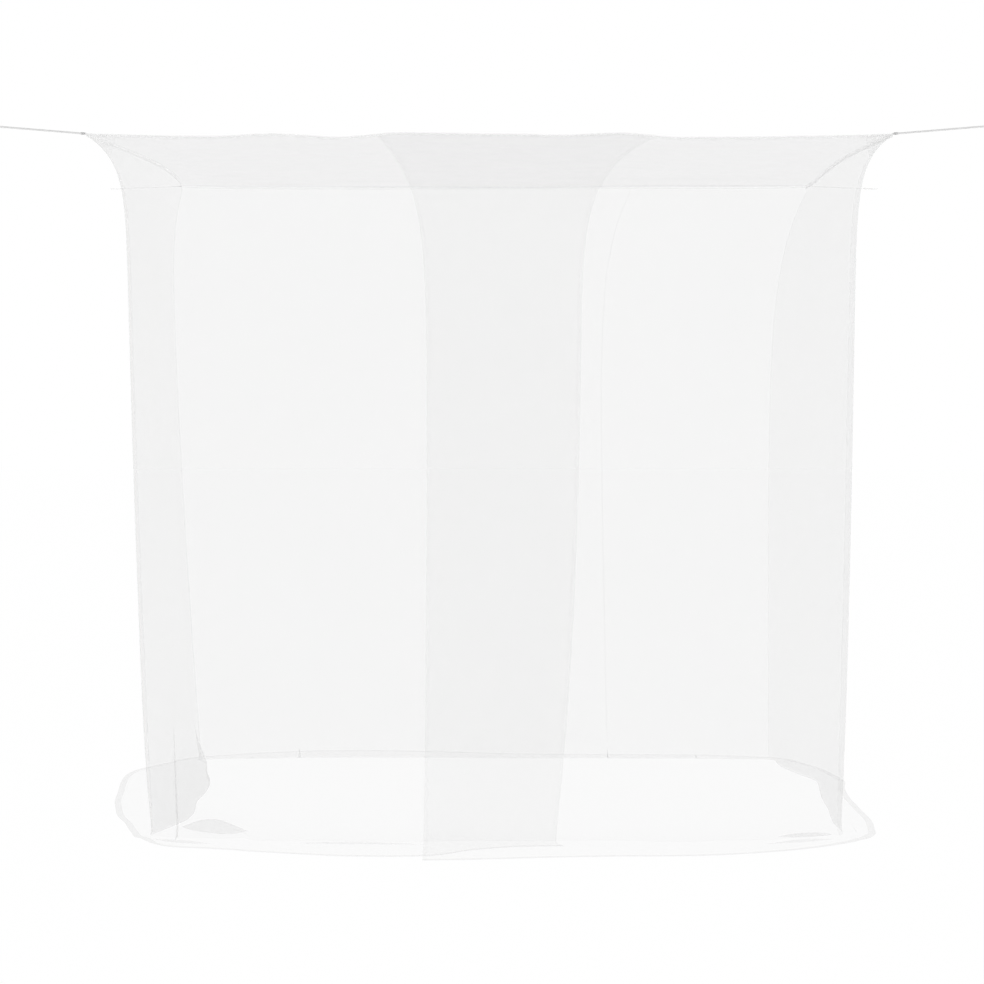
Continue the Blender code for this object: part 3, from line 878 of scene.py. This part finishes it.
@dataclass(frozen=True)
class Finish:
    """A cloth finish: a pale fibre with its threads, its unevenness and its relief.

    shade is how much painted shade darkens the gaps between its threads, and tone how much the handling's random
    unevenness darkens it; stitched is how far from the edge its stitches run, and dark is its darkest tone as a share
    of white.
    """

    name: str
    alpha: float
    white: float = 0.86
    roughness: float = 0.85
    pitch: float = 0.0018
    thinness: float = 6.0
    shade: float = 0.05
    relief: float = 0.3
    tone: float = 0.10
    stitched: float = 0.0
    dark: float = 0.45
    rough_spread: float = 0.12
    stitch_light: float = -0.05
    bump_height: float = 0.0004
    gloss: float = 0.15

    def material(self) -> bpy.types.Material:
        """The finish as a material, made once.

        Returns:
            A Principled material whose colour, roughness and normal carry the cloth's detail, with painted shade in
            the gaps between its threads.
        """
        if found := bpy.data.materials.get(self.name):
            return found
        made = bpy.data.materials.new(self.name)
        made.use_nodes = True
        board = NodeBoard(made.node_tree)
        shader = made.node_tree.nodes["Principled BSDF"]
        own = {"Alpha": self.alpha, "Metallic": 0.0, "Specular IOR Level": self.gloss}
        board.fill(shader, own)

        places = board.node("ShaderNodeTexCoord").outputs
        threads = {"Threads": places["UV"], "Pitch": self.pitch, "Thinness": self.thinness}
        net = board.node("ShaderNodeGroup", node_tree=netting_effect())
        board.fill(net, threads)
        handling = board.node("ShaderNodeGroup", node_tree=handling_effect())
        board.fill(handling, {"Place": places["Object"]})
        tone = handling.outputs["Tone"]
        # Painted shade: the gaps between the threads are darkened in the colour.
        between = board.math("SUBTRACT", 1.0, net.outputs["Thread"])
        painted_gap_shade = board.math("MULTIPLY", between, self.shade)
        dark = board.math("ADD", painted_gap_shade, board.math("MULTIPLY", tone, self.tone))
        height = board.math("ADD", net.outputs["Height"], handling.outputs["Crumple"])
        if self.stitched:
            sewing = board.node("ShaderNodeGroup", node_tree=stitching_effect())
            board.fill(sewing, {"Threads": places["UV"], "From Edge": self.stitched})
            sewn = board.math("MULTIPLY", sewing.outputs["Stitch"], self.stitch_light)
            dark = board.math("ADD", dark, sewn)
            height = board.math("ADD", height, sewing.outputs["Pucker"])

        pale, deep = ((white, white, white, 1.0) for white in (self.white, self.white * self.dark))
        mixed = board.node("ShaderNodeMix", data_type="RGBA")
        board.fill(mixed, {"A": pale, "B": deep, "Factor": dark})
        rough = board.math("MULTIPLY", tone, self.rough_spread)
        rough = board.math("ADD", rough, self.roughness - self.rough_spread / 2)
        relief = {"Strength": self.relief, "Distance": self.bump_height, "Height": height}
        normal = board.node("ShaderNodeBump", relief).outputs["Normal"]
        colour = mixed.outputs["Result"]
        board.fill(shader, {"Base Color": colour, "Roughness": rough, "Normal": normal})
        return made


class Finishes:
    """The finishes of this net."""

    NETTING = Finish("netting_walls", 0.155)
    SIDE_NETTING = Finish("netting_sides", 0.245)
    # The roof's netting is the walls' netting with a darker white: painted shade on the roof.
    ROOF_NETTING = Finish("netting_roof", 0.34, white=0.80)
    LYING_NETTING = Finish("netting_lying", 0.105)
    HEM = Finish("hemmed_netting", 0.17, relief=0.4, stitched=0.017)
    EDGE = Finish("edge_netting", 0.035, relief=0.4, stitched=0.002)
    SEAM = Finish("seamed_netting", 0.03, relief=0.5, stitched=0.002)
    TAPE = Finish("tape_weave", 0.17, 0.84, 0.75, 0.0012, 1.5, 0.06, 0.6, 0.08, 0.003)
    CLEAR_TAPE = replace(TAPE, name="tape_weave_clear", alpha=0.09)
    DENSE_TAPE = replace(TAPE, name="tape_weave_dense", alpha=0.24)
    ROPE = Finish("rope_fibre", 1.0, 0.95, 0.80, 0.0009, 1.2, 0.05, 0.6, 0.08)
    THIN_ROPE = replace(ROPE, name="thin_rope_fibre", alpha=0.07, white=0.93, relief=0.9)


def dress(piece: Piece, finish: Finish, slot: str) -> None:
    """Gives a piece its finish and names the material slot that it stands for."""
    piece.data.materials.append(finish.material())
    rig.slot(piece, slot)


# ---- mesh makers


def new_object(name: str, data: bpy.types.ID) -> Piece:
    """A new object of the scene."""
    made = bpy.data.objects.new(name, data)
    bpy.context.scene.collection.objects.link(made)
    return made


def new_cloth(name: str, points: Places, faces: list[tuple[int, ...]], flat: list[Pair]) -> Piece:
    """A piece that rides on the net, with a UV map in metres of its own threads.

    Args:
        name: Its name.
        points: Its places.
        faces: The places of each face.
        flat: Where each place lies on the cloth or the cord when that is laid flat.

    Returns:
        The new piece.
    """
    mesh = bpy.data.meshes.new(name)
    mesh.from_pydata(points, [], faces)
    threads = mesh.uv_layers.new(name="threads")
    numbers = [number for face in faces for at in face for number in flat[at]]
    threads.uv.foreach_set("vector", numbers)
    mesh.shade_smooth()
    piece = new_object(name, mesh)
    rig.ride(piece, "root")
    return piece


def cloth_mesh(
    name: str,
    columns: Sequence[float],
    rows: Sequence,
    place: Callable[[float, object], Vector],
    finish: Finish,
    slot: str = "net_cloth",
) -> Piece:
    """A dressed cloth over a grid of places.

    Args:
        name: The piece's name.
        columns: Shares across the cloth.
        rows: Its levels.
        place: Gives the point at a column and a row.
        finish: What it is made of.
        slot: The material slot that it stands for.

    Returns:
        The new piece.
    """
    points = [place(column, row) for row in rows for column in columns]
    wide, high = len(columns), len(rows)
    faces = [
        (at, at + 1, at + wide + 1, at + wide)
        for row in range(high - 1)
        for at in range(row * wide, row * wide + wide - 1)
    ]
    middle = (high // 2) * wide
    across = [0.0]
    for at in range(middle, middle + wide - 1):
        across.append(across[-1] + (points[at + 1] - points[at]).length)
    up = [0.0]
    for at in range(wide // 2, wide // 2 + (high - 1) * wide, wide):
        up.append(up[-1] + (points[at + wide] - points[at]).length)

    flat = [(run, rise) for rise in up for run in across]
    piece = new_cloth(name, points, faces, flat)
    dress(piece, finish, slot)
    return piece


def carried_frames(path: Places) -> list[tuple[Vector, Vector, Vector]]:
    """A point, a normal and a binormal for each place on a path, turned as little as may be."""
    frames = []
    normal = Vector((0, 0, 1))
    for index, point in enumerate(path):
        before, after = path[max(0, index - 1)], path[min(len(path) - 1, index + 1)]
        ahead = (after - before).normalized()
        normal = (normal - ahead * normal.dot(ahead)).normalized()
        frames.append((point, normal.copy(), ahead.cross(normal)))
    return frames


@dataclass(frozen=True)
class RopeLay:
    """How a rope is laid: its radius, its strands, the length of a turn and its roundness.

    strand_share is a strand's radius as a share of the rope's, so that the strands fill it.
    """

    radius: float
    strands: int = 3
    turn: float = 0.019
    sides: int = 8
    strand_share: float = 0.52

    def mesh(self, name: str, path: Places) -> Piece:
        """Strands twisted round a path, with closed ends.

        Args:
            name: The piece's name.
            path: The rope's middle line, in close steps.

        Returns:
            The new piece.
        """
        thick = self.radius * self.strand_share
        angles = [2 * pi * side / self.sides for side in range(self.sides)]
        frames = carried_frames(path)
        points, faces, flat = [], [], []
        for strand in range(self.strands):
            first, run = len(points), 0.0
            for index, (point, normal, binormal) in enumerate(frames):
                if index:
                    run += (point - path[index - 1]).length
                turned = 2 * pi * (run / self.turn + strand / self.strands)
                lean = normal * cos(turned) + binormal * sin(turned)
                cross = binormal * cos(turned) - normal * sin(turned)
                core = point + lean * (self.radius - thick)
                for angle in angles:
                    points.append(core + lean * (thick * cos(angle)) + cross * (thick * sin(angle)))
                    flat.append((run, thick * angle))
            last = len(points) - self.sides
            for low in range(first, last, self.sides):
                ring = [(low + side, low + self.sides + side) for side in range(self.sides)]
                faces += [(a, b, d, c) for (a, b), (c, d) in zip(ring, ring[1:] + ring[:1])]
            faces.append(tuple(range(first, first + self.sides)))
            faces.append(tuple(reversed(range(last, last + self.sides))))
        return new_cloth(name, points, faces, flat)


# ---- sub-assemblies


@dataclass
class RoofPanel:
    """The flat roof panel, stretched between its four edges, with ripples across it."""

    form: NetForm
    width: float = 2.20
    depth: float = 2.00
    ripple: float = 0.0022
    ripple_length: float = 0.21
    sweep: float = 0.9
    wandering: tuple[float, float, float] = (0.3, 5.1, 1.0)
    crossing: tuple[float, float, float, float] = (0.5, 0.61, 1.7, 0.2)
    edge_fade: float = 0.05
    steps: tuple[int, int] = (150, 190)

    def ripples(self, across: float, back: float) -> float:
        """How far the roof's ripples lift it at a place.

        Args:
            across: Share of the way from left to right.
            back: Share of the way from front to back.

        Returns:
            The lift, which fades at the edges.
        """
        run = back * self.depth / self.ripple_length
        wander, turns, shift = self.wandering
        bend = self.sweep * sin(pi * across) + wander * sin(turns * across + shift)
        first = sin(2 * pi * (run + bend))
        share, slower, slant, start = self.crossing
        second = share * sin(2 * pi * (slower * run - slant * across + start))
        edge = min(across, 1 - across, back, 1 - back)
        return self.ripple * (first + second) * ease(edge / self.edge_fade)

    def build(self) -> Piece:
        """Builds and dresses the panel, and says that it is a stretched sheet.

        Returns:
            The roof's cloth.
        """

        def place(across: float, back: float) -> Vector:
            """A point of the rippled roof, just below the tape's top."""
            point = self.form.roof_place(across, back) + self.form.middle
            point.z += self.ripples(across, back) - self.form.cloth / 2
            return point

        columns, rows = (evenly(0.0005, 0.9995, steps) for steps in self.steps)
        piece = cloth_mesh("roof_cloth", columns, rows, place, Finishes.ROOF_NETTING)
        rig.replaces(piece, "roof_panel")
        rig.sheet(
            piece,
            flat=(self.width, self.depth),
            held="stretched",
            rests_on=["edge_binding_front", "edge_binding_back"],
        )
        return piece


@dataclass
class Wall:
    """A hung panel whose hem lies out on the floor.

    flat is its width and height as cut, and meets says if it reaches the side's start and end.
    """

    form: NetForm
    name: str
    node: str
    side: SideName
    flat: Pair
    finish: Finish = Finishes.NETTING
    meets: tuple[bool, bool] = (True, True)
    column_steps: int = 170
    floor_steps: int = 66
    wall_steps: int = 110
    hem_width: float = 0.020
    hem_proud: float = 0.0011
    hem_past: float = 0.0008
    bend_out: float = 0.10
    gathered: float = 0.02
    flush: float = 4.0

    def __post_init__(self) -> None:
        """Leads the hem to that of the corners that the panel meets."""
        run = self.form.sides[self.side]
        first, last = (
            ((share, self.form.corners[name].hem),) if met else ()
            for share, name, met in zip((0.0, 1.0), (run.start, run.end), self.meets)
        )
        self.hem: Measures = first + HEMS[self.name] + last

    def ends(self, depth: float) -> Pair:
        """The shares of the side between which the panel hangs at a depth."""
        return 0.0, 1.0

    def behind(self, along: float, depth: float) -> float:
        """How far the panel hangs behind the wall's face."""
        return 0.0

    def lift(self, along: float) -> float:
        """How far its hem lies above the floor's first layer."""
        return 0.0

    def along(self, share: float, depth: float) -> float:
        """A share of the panel's own width, as a share of the side."""
        first, last = self.ends(depth)
        return first + (last - first) * share

    def place(self, share: float, row: Row, proud: float = 0.0) -> Vector:
        """A point of the panel.

        Args:
            share: Share of the panel's width, from its start corner.
            row: The level.
            proud: How far outside the cloth the point lies.

        Returns:
            The point in the part's own frame.
        """
        depth = self.form.hang_height - row.height
        along = self.along(share, depth)
        return self.form.wall_place(
            self.side,
            self.hem,
            along,
            row,
            behind=self.behind(along, depth) - proud * (1 - min(1.0, row.out * self.flush)),
            lift=self.lift(along) + proud,
        )

    def columns(self) -> list[float]:
        """Shares across the panel, closer together near its ends."""
        return [
            share - self.gathered * sin(2 * pi * share)
            for share in evenly(0.0, 1.0, self.column_steps)
        ]

    def cloth(self) -> Piece:
        """The panel's own cloth, which replaces its solid."""
        rows = self.form.levels(self.floor_steps, self.wall_steps)
        piece = cloth_mesh(self.name, self.columns(), rows, self.place, self.finish)
        piece.data.materials.append(Finishes.LYING_NETTING.material())
        flat = sum(row.out > self.bend_out for row in rows)
        for face in piece.data.polygons[: flat * self.column_steps]:
            face.material_index = 1
        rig.replaces(piece, self.node)
        return piece

    def hem_strip(self) -> Piece:
        """The hem: the last stretch of the cloth, turned over twice and sewn down."""

        def place(share: float, inwards: float) -> Vector:
            """A point of the hem, at a distance in from its edge."""
            along = self.along(share, self.form.hang_height)
            reach = smoothly(self.hem, along)
            return self.place(share, Row(0.0, 1 - inwards / reach), self.hem_proud)

        inwards = evenly(-self.hem_past, self.hem_width, 6)
        return cloth_mesh(f"{self.name}_hem", self.columns(), inwards, place, Finishes.HEM)

    def extras(self) -> list[Piece]:
        """The panel's other pieces: here its hem."""
        return [self.hem_strip()]

    def build(self) -> Piece:
        """Returns:
            The panel's cloth.
        """
        piece = self.cloth()
        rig.sheet(
            piece,
            flat=self.flat,
            held="hung",
            rests_on=[f"edge_binding_{self.side.value}"],
            with_pieces=self.extras(),
        )
        return piece


@dataclass
class BackWall(Wall):
    """The back wall, joined from two widths of netting by an upright seam."""

    column_steps: int = 190
    seam_along: float = 0.283
    seam_width: float = 0.006
    seam_behind: float = 0.0008

    def joining_seam(self) -> Piece:
        """The flat seam that joins the two widths."""
        half = self.seam_width / 2 / self.flat[0]
        return cloth_mesh(
            f"{self.name}_seam",
            self.form.levels(30, 70),
            evenly(-half, half, 2),
            lambda row, across: self.place(self.seam_along + across, row, -self.seam_behind),
            Finishes.SEAM,
        )

    def extras(self) -> list[Piece]:
        """The hem and the joining seam."""
        return [self.hem_strip(), self.joining_seam()]


@dataclass
class DoorPanel(Wall):
    """A door panel, from its corner to its free edge, which is hemmed too."""

    column_steps: int = 140
    free: FreeEdge = FreeEdge(0.255, 0.221, 0.10, 0.074)
    apart_top: float = 0.0018
    apart: float = 0.009
    apart_depth: float = 0.15
    apart_share: float = 0.25
    over_lift: float = 0.005
    over_from: float = 0.80
    over_to: float = 0.65
    edge_width: float = 0.014
    edge_proud: float = 0.0005

    @property
    def inner(self) -> bool:
        """The left door hangs inside the right one."""
        return self.meets[0]

    def ends(self, depth: float) -> Pair:
        """The shares of the front at the door's left and right edges."""
        run = self.form.sides[self.side]
        start = self.form.corner_place(run.start, depth)
        end = self.form.corner_place(run.end, depth)
        swing = self.free.swing * exp(-depth / self.free.swing_depth)
        sway = self.free.sway * (depth / self.form.hang_height) ** 3
        free = (self.free.hung + swing - sway - start.x) / (end.x - start.x)
        return (0.0, free) if self.inner else (free, 1.0)

    def behind(self, along: float, depth: float) -> float:
        """The inner door hangs a little behind the outer one."""
        if not self.inner:
            return 0.0
        top = (self.apart - self.apart_top) * exp(-depth / self.apart_depth)
        return (self.apart - top) * min(1.0, along / self.apart_share)

    def lift(self, along: float) -> float:
        """The outer door's hem lies on the inner one's."""
        if self.inner:
            return 0.0
        return self.over_lift * ease((self.over_from - along) / (self.over_from - self.over_to))

    def edge_strip(self) -> Piece:
        """The free edge's narrow hem, from the floor to the roof."""
        share = self.edge_width / self.flat[0]
        return cloth_mesh(
            f"{self.name}_free_edge",
            self.form.levels(50, 90),
            evenly(1 - share, 1.0, 3) if self.inner else evenly(0.0, share, 3),
            lambda row, across: self.place(across, row, self.edge_proud),
            Finishes.EDGE,
        )

    def extras(self) -> list[Piece]:
        """The hem and the free edge's hem."""
        return [self.hem_strip(), self.edge_strip()]


@dataclass
class CornerSeam:
    """The upright seam that joins two walls at a corner."""

    form: NetForm
    corner: CornerName
    before: Wall
    after: Wall
    half_width: float = 0.0016
    proud: float = 0.0011

    def build(self) -> Piece:
        """Builds and dresses the seam.

        Returns:
            The seam's piece.
        """
        kept = [self.half_width / wall.flat[0] for wall in (self.before, self.after)]

        def place(row: Row, across: float) -> Vector:
            """A point of the seam, from the one wall's edge to the other's."""
            if across < 0:
                return self.before.place(1 + kept[0] * across, row, self.proud)
            return self.after.place(kept[1] * across, row, self.proud)

        name, rows = f"corner_seam_{self.corner.value}", self.form.levels(40, 90)
        return cloth_mesh(name, rows, (-1.0, 0.0, 1.0), place, Finishes.SEAM)


@dataclass
class CornerPatch:
    """A three-cornered patch that backs a wall where a tie pulls at its corner.

    share is 0 at the wall's start corner and 1 at its end corner.
    """

    wall: Wall
    share: int
    finish: Finish
    reach: float = 0.070
    drop: float = 0.055
    behind: float = 0.0012
    blunt: float = 0.04

    def build(self) -> Piece:
        """Builds and dresses the patch.

        Returns:
            The patch's piece.
        """
        form = self.wall.form
        top = form.hang_height - form.wall_drop
        inwards = 1 - 2 * self.share

        def place(column: float, down: float) -> Vector:
            """A point of the patch, which narrows downwards."""
            narrowed = 1 - (1 - self.blunt) * down / self.drop
            spread = self.reach * column * narrowed / self.wall.flat[0]
            row = Row(top - down, 0.0)
            return self.wall.place(self.share + inwards * spread, row, -self.behind)

        columns, drops = evenly(0.0, 1.0, 14), evenly(0.0, self.drop, 12)
        name = f"{self.wall.name}_patch_{self.share}"
        return cloth_mesh(name, columns, drops, place, self.finish, "binding_tape")


@dataclass
class BindingTape:
    """The tape folded over the roof's seam along one side."""

    form: NetForm
    side: SideName
    finish: Finish = Finishes.TAPE
    outer: float = 0.0085
    inner: float = 0.004
    fold: float = 0.0012
    inwards: float = 0.4

    def profile(self) -> list[Pair]:
        """The tape's section: outward and up from the roof's edge, from outside to inside."""
        fold, aside = self.fold, self.fold * self.inwards
        turn = [
            (fold * cos(angle) - aside, fold * sin(angle) - fold)
            for angle in evenly(0.0, pi, 6)
        ]
        down = [(turn[0][0], turn[0][1] - drop) for drop in (self.outer, self.outer * 0.5)]
        inside = [(turn[-1][0], turn[-1][1] - drop) for drop in (self.inner * 0.5, self.inner)]
        return down + turn + inside

    def build(self) -> Piece:
        """Builds and dresses the tape, which replaces its solid.

        Returns:
            The tape's piece.
        """
        outward = Vector((*self.form.sides[self.side].outward, 0.0))

        def place(along: float, section: Pair) -> Vector:
            """A point of the tape on its section."""
            out, up = section
            edge = self.form.edge_place(self.side, along) + self.form.middle
            return edge + outward * out + Vector((0, 0, up))

        name, columns = f"binding_{self.side.value}", evenly(0.0, 1.0, 260)
        piece = cloth_mesh(name, columns, self.profile(), place, self.finish, "binding_tape")
        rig.replaces(piece, f"edge_binding_{self.side.value}")
        return piece


@dataclass
class Tie:
    """A tie at a corner: a three-strand rope, its whipping, a wound knot and an end loop."""

    form: NetForm
    corner: CornerName
    finish: Finish
    length: float = 0.33
    start: float = 0.0013
    drop: float = 0.002
    knot_length: float = 0.016
    knot_gap: float = 0.0003
    loop_length: float = 0.058
    loop_radius: float = 0.012
    loop_neck: float = 0.008
    loop_widening: float = 0.026
    knot_turns: float = 2.6
    knot_spread: float = 1.55
    whipped: Pair = (0.006, 0.018)
    whipping_turns: int = 11
    thread_radius: float = 0.0005
    thread_proud: float = 0.0003
    step: float = 0.0016

    @property
    def radius(self) -> float:
        """The rope's radius."""
        return self.form.corners[self.corner].tie / 2

    def frame_at(self) -> tuple[Vector, Vector, Vector]:
        """The tip, the way that the tie pulls and the way across it."""
        corner = self.form.corners[self.corner]
        top = self.form.hang_height + self.form.tip_rise - self.drop
        tip = Vector((*corner.tip, top)) + self.form.middle
        flat = Vector((copysign(1, corner.tip[0]), copysign(1, corner.tip[1]), 0))
        pulled = flat.normalized() + Vector((0, 0, corner.tie_rise / self.length))
        pulled.normalize()
        return tip, pulled, Vector((0, 0, 1)).cross(pulled).normalized()

    def stretch(self, name: str, path: Places, lay: RopeLay, node: str = "") -> Piece:
        """Rope laid along a path, which replaces the solid of its node if it has one."""
        piece = lay.mesh(f"{name}_{self.corner.value}", path)
        if node:
            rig.replaces(piece, f"{node}_{self.corner.value}")
        return piece

    def rope(self) -> tuple[Piece, Places]:
        """The rope from the corner tip to the end of its knot, and its middle line."""
        tip, pulled, _ = self.frame_at()
        last = self.length + self.knot_length
        steps = round((last - self.start) / self.step)
        path = [tip + pulled * run for run in evenly(self.start, last, steps)]
        return self.stretch("tie_rope", path, RopeLay(self.radius), "tie_cord"), path

    def wound(self, first: float, last: float, turns: float, spread: float, steps: int) -> Places:
        """A helix round the tie's middle line.

        Args:
            first: Its start along the tie.
            last: Its end along the tie.
            turns: How many times it goes round.
            spread: Its radius.
            steps: How many steps it has.

        Returns:
            Its points.
        """
        tip, pulled, across = self.frame_at()
        up = pulled.cross(across)
        path = []
        for share in evenly(0.0, 1.0, steps):
            angle = 2 * pi * turns * share
            away = across * cos(angle) + up * sin(angle)
            path.append(tip + pulled * (first + (last - first) * share) + away * spread)
        return path

    def knot(self) -> Piece:
        """The knot: the rope's end wound round it."""
        first = self.length + self.knot_gap + self.radius
        last = self.length + self.knot_length + self.knot_gap - self.radius
        path = self.wound(first, last, self.knot_turns, self.radius * self.knot_spread, steps=90)
        return self.stretch("tie_winding", path, RopeLay(self.radius, turn=0.014), "tie_knot")

    def loop(self) -> Piece:
        """The end loop, lying flat: out of the knot, around its round end and back."""
        tip, pulled, across = self.frame_at()
        neck, wide = self.radius + self.knot_gap, self.loop_radius
        round_end = self.loop_length - wide
        half = []
        for share in evenly(0.0, 1.0, 26):
            run = round_end * share
            opened = ease((run - self.loop_neck) / self.loop_widening)
            half.append((run, neck + (wide - neck) * opened))
        half += [
            (round_end + wide * cos(angle), wide * sin(angle))
            for angle in evenly(pi / 2, 0.0, 12)[1:]
        ]
        outline = half + [(run, -side) for run, side in reversed(half[:-1])]
        origin = tip + pulled * (self.length + self.knot_length + 2 * self.knot_gap)
        path = [origin + pulled * run + across * side for run, side in outline]
        return self.stretch("tie_eye", path, RopeLay(self.radius), "tie_loop")

    def whipping(self) -> Piece:
        """Thread wound round the rope where it is sewn to the corner tip."""
        first, last = self.whipped
        spread = self.radius + self.thread_proud
        path = self.wound(first, last, self.whipping_turns, spread, steps=160)
        lay = RopeLay(self.thread_radius, strands=2, turn=0.004, sides=5)
        return self.stretch("tie_whipping", path, lay)

    def build(self) -> Piece:
        """Builds and dresses the tie, and declares its rope.

        Returns:
            The rope's piece.
        """
        rope, path = self.rope()
        others = [self.knot(), self.loop(), self.whipping()]
        for piece in (rope, *others):
            dress(piece, self.finish, "tie_cord")
        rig.cord(
            rope,
            exit=path[0],
            length=self.length + self.knot_length,
            diameter=2 * self.radius,
            far_end="knot",
            stiffness="limp",
            lay="taut",
            path=path,
            with_pieces=others,
        )
        return rope


# ---- the studio


@dataclass
class Studio:
    """The pale floor, the soft light and the camera."""

    eye: tuple[float, float, float] = (0.040, -8.8838, 1.2758)
    look_down: float = 1.9608
    lens: float = 103.29
    surround: float = 1.0
    glow: float = 0.71
    floor_own: float = 0.98
    floor_white: float = 0.025
    floor_reach: float = 40.0
    light_place: tuple[float, float, float] = (0.0, -6.5, 5.5)
    light_size: float = 4.0
    light_power: float = 25.0

    def camera(self) -> None:
        """The camera, level with the middle of the net and a little tilted down."""
        data = bpy.data.cameras.new("camera")
        data.sensor_width, data.lens, data.clip_end = 36.0, self.lens, 100.0
        made = new_object("camera", data)
        made.location = self.eye
        made.rotation_euler = (radians(90 - self.look_down), 0.0, 0.0)
        bpy.context.scene.camera = made

    def surroundings(self) -> None:
        """A plain white studio: bright behind the net, softer as light on it."""
        scene = bpy.context.scene
        scene.view_settings.view_transform = "Standard"
        scene.cycles.transparent_max_bounces = 96
        world = bpy.data.worlds.new("studio")
        world.use_nodes = True
        board = NodeBoard(world.node_tree)
        light = world.node_tree.nodes["Background"]
        light.inputs["Color"].default_value = (1.0, 1.0, 1.0, 1.0)
        seen = board.node("ShaderNodeLightPath").outputs["Is Camera Ray"]
        spread = board.math("MULTIPLY", seen, self.surround - self.glow)
        board.fill(light, {"Strength": board.math("ADD", spread, self.glow)})
        scene.world = world

    def floor(self) -> None:
        """A large pale floor."""
        mesh = bpy.data.meshes.new("floor")
        ways = ((-1, -1, 0), (1, -1, 0), (1, 1, 0), (-1, 1, 0))
        corners = [Vector(way) * self.floor_reach for way in ways]
        mesh.from_pydata(corners, [], [(0, 1, 2, 3)])
        made = new_object("floor", mesh)
        pale = bpy.data.materials.new("floor_paper")
        pale.use_nodes = True
        inputs = pale.node_tree.nodes["Principled BSDF"].inputs
        inputs["Base Color"].default_value = (self.floor_white,) * 3 + (1.0,)
        inputs["Roughness"].default_value = 1.0
        inputs["Specular IOR Level"].default_value = 0.0
        inputs["Emission Color"].default_value = (1.0, 1.0, 1.0, 1.0)
        inputs["Emission Strength"].default_value = self.floor_own
        mesh.materials.append(pale)
        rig.stage(made)

    def soft_box(self) -> None:
        """A large soft light before the net, turned to its middle."""
        data = bpy.data.lights.new("soft_box_front", "AREA")
        data.size, data.energy = self.light_size, self.light_power
        made = new_object("soft_box_front", data)
        made.location = self.light_place
        towards = Vector((0.0, 0.0, 1.0)) - Vector(self.light_place)
        made.rotation_euler = towards.to_track_quat("-Z", "Y").to_euler()
        made.visible_camera = False

    def build(self) -> None:
        """Sets up the camera, the surroundings, the floor and the light."""
        self.camera()
        self.surroundings()
        self.floor()
        self.soft_box()


# ---- the whole net


@dataclass
class Canopy:
    """The whole net: its panels, seams, binding tape and ties."""

    form: NetForm = field(default_factory=NetForm)

    def walls(self) -> list[Wall]:
        """The five hung panels, not yet built."""
        side_flat, door_flat, side_net = (2.00, 2.15), (1.35, 2.25), Finishes.SIDE_NETTING
        left, right, front = SideName.LEFT, SideName.RIGHT, SideName.FRONT
        parted = FreeEdge(-0.185, -0.146, 0.13, 0.010)
        return [
            BackWall(self.form, "back_cloth", "back_panel", SideName.BACK, (2.20, 2.15)),
            Wall(self.form, "side_cloth_left", "side_panel_left", left, side_flat, side_net),
            Wall(self.form, "side_cloth_right", "side_panel_right", right, side_flat, side_net),
            DoorPanel(
                self.form, "door_cloth_left", "front_panel_left", front, door_flat,
                meets=(True, False),
            ),
            DoorPanel(
                self.form, "door_cloth_right", "front_panel_right", front, door_flat,
                meets=(False, True), free=parted,
            ),
        ]

    def build(self) -> None:
        """Builds every piece in order and reports it."""
        for corner, finish in (
            (CornerName.FRONT_LEFT, Finishes.ROPE),
            (CornerName.FRONT_RIGHT, Finishes.ROPE),
            (CornerName.BACK_RIGHT, Finishes.THIN_ROPE),
            (CornerName.BACK_LEFT, Finishes.THIN_ROPE),
        ):
            log.info("tie: %s", Tie(self.form, corner, finish).build().name)
        for tape in (
            BindingTape(self.form, SideName.FRONT, Finishes.CLEAR_TAPE),
            BindingTape(self.form, SideName.RIGHT, Finishes.DENSE_TAPE, outer=0.010, inner=0.010),
            BindingTape(self.form, SideName.BACK, Finishes.CLEAR_TAPE, outer=0.006),
            BindingTape(self.form, SideName.LEFT),
        ):
            log.info("binding tape: %s", tape.build().name)
        log.info("roof: %s", RoofPanel(self.form).build().name)
        back, left, right, door_left, door_right = walls = self.walls()
        for wall in walls:
            log.info("wall: %s", wall.build().name)
        for corner, before, after in (
            (CornerName.FRONT_LEFT, left, door_left),
            (CornerName.FRONT_RIGHT, door_right, right),
            (CornerName.BACK_RIGHT, right, back),
            (CornerName.BACK_LEFT, back, left),
        ):
            log.info("seam: %s", CornerSeam(self.form, corner, before, after).build().name)
        for wall, share, finish in (
            (door_left, 0, Finishes.CLEAR_TAPE),
            (left, 1, Finishes.CLEAR_TAPE),
            (door_right, 1, Finishes.TAPE),
            (right, 0, Finishes.TAPE),
        ):
            log.info("patch: %s", CornerPatch(wall, share, finish).build().name)


def main() -> None:
    """Builds the studio and the net, and writes the sizes."""
    logging.basicConfig(level=logging.INFO, format="%(message)s")
    Studio().build()
    Canopy().build()
    sizes = {"cad": CAD_BOX, "visual": [list(corner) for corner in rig.bounds()]}
    with open(SIZE_FILE, "w", encoding="utf-8") as out:
        json.dump(sizes, out)
    log.info("sizes: %s", sizes)


if __name__ == "__main__":
    main()
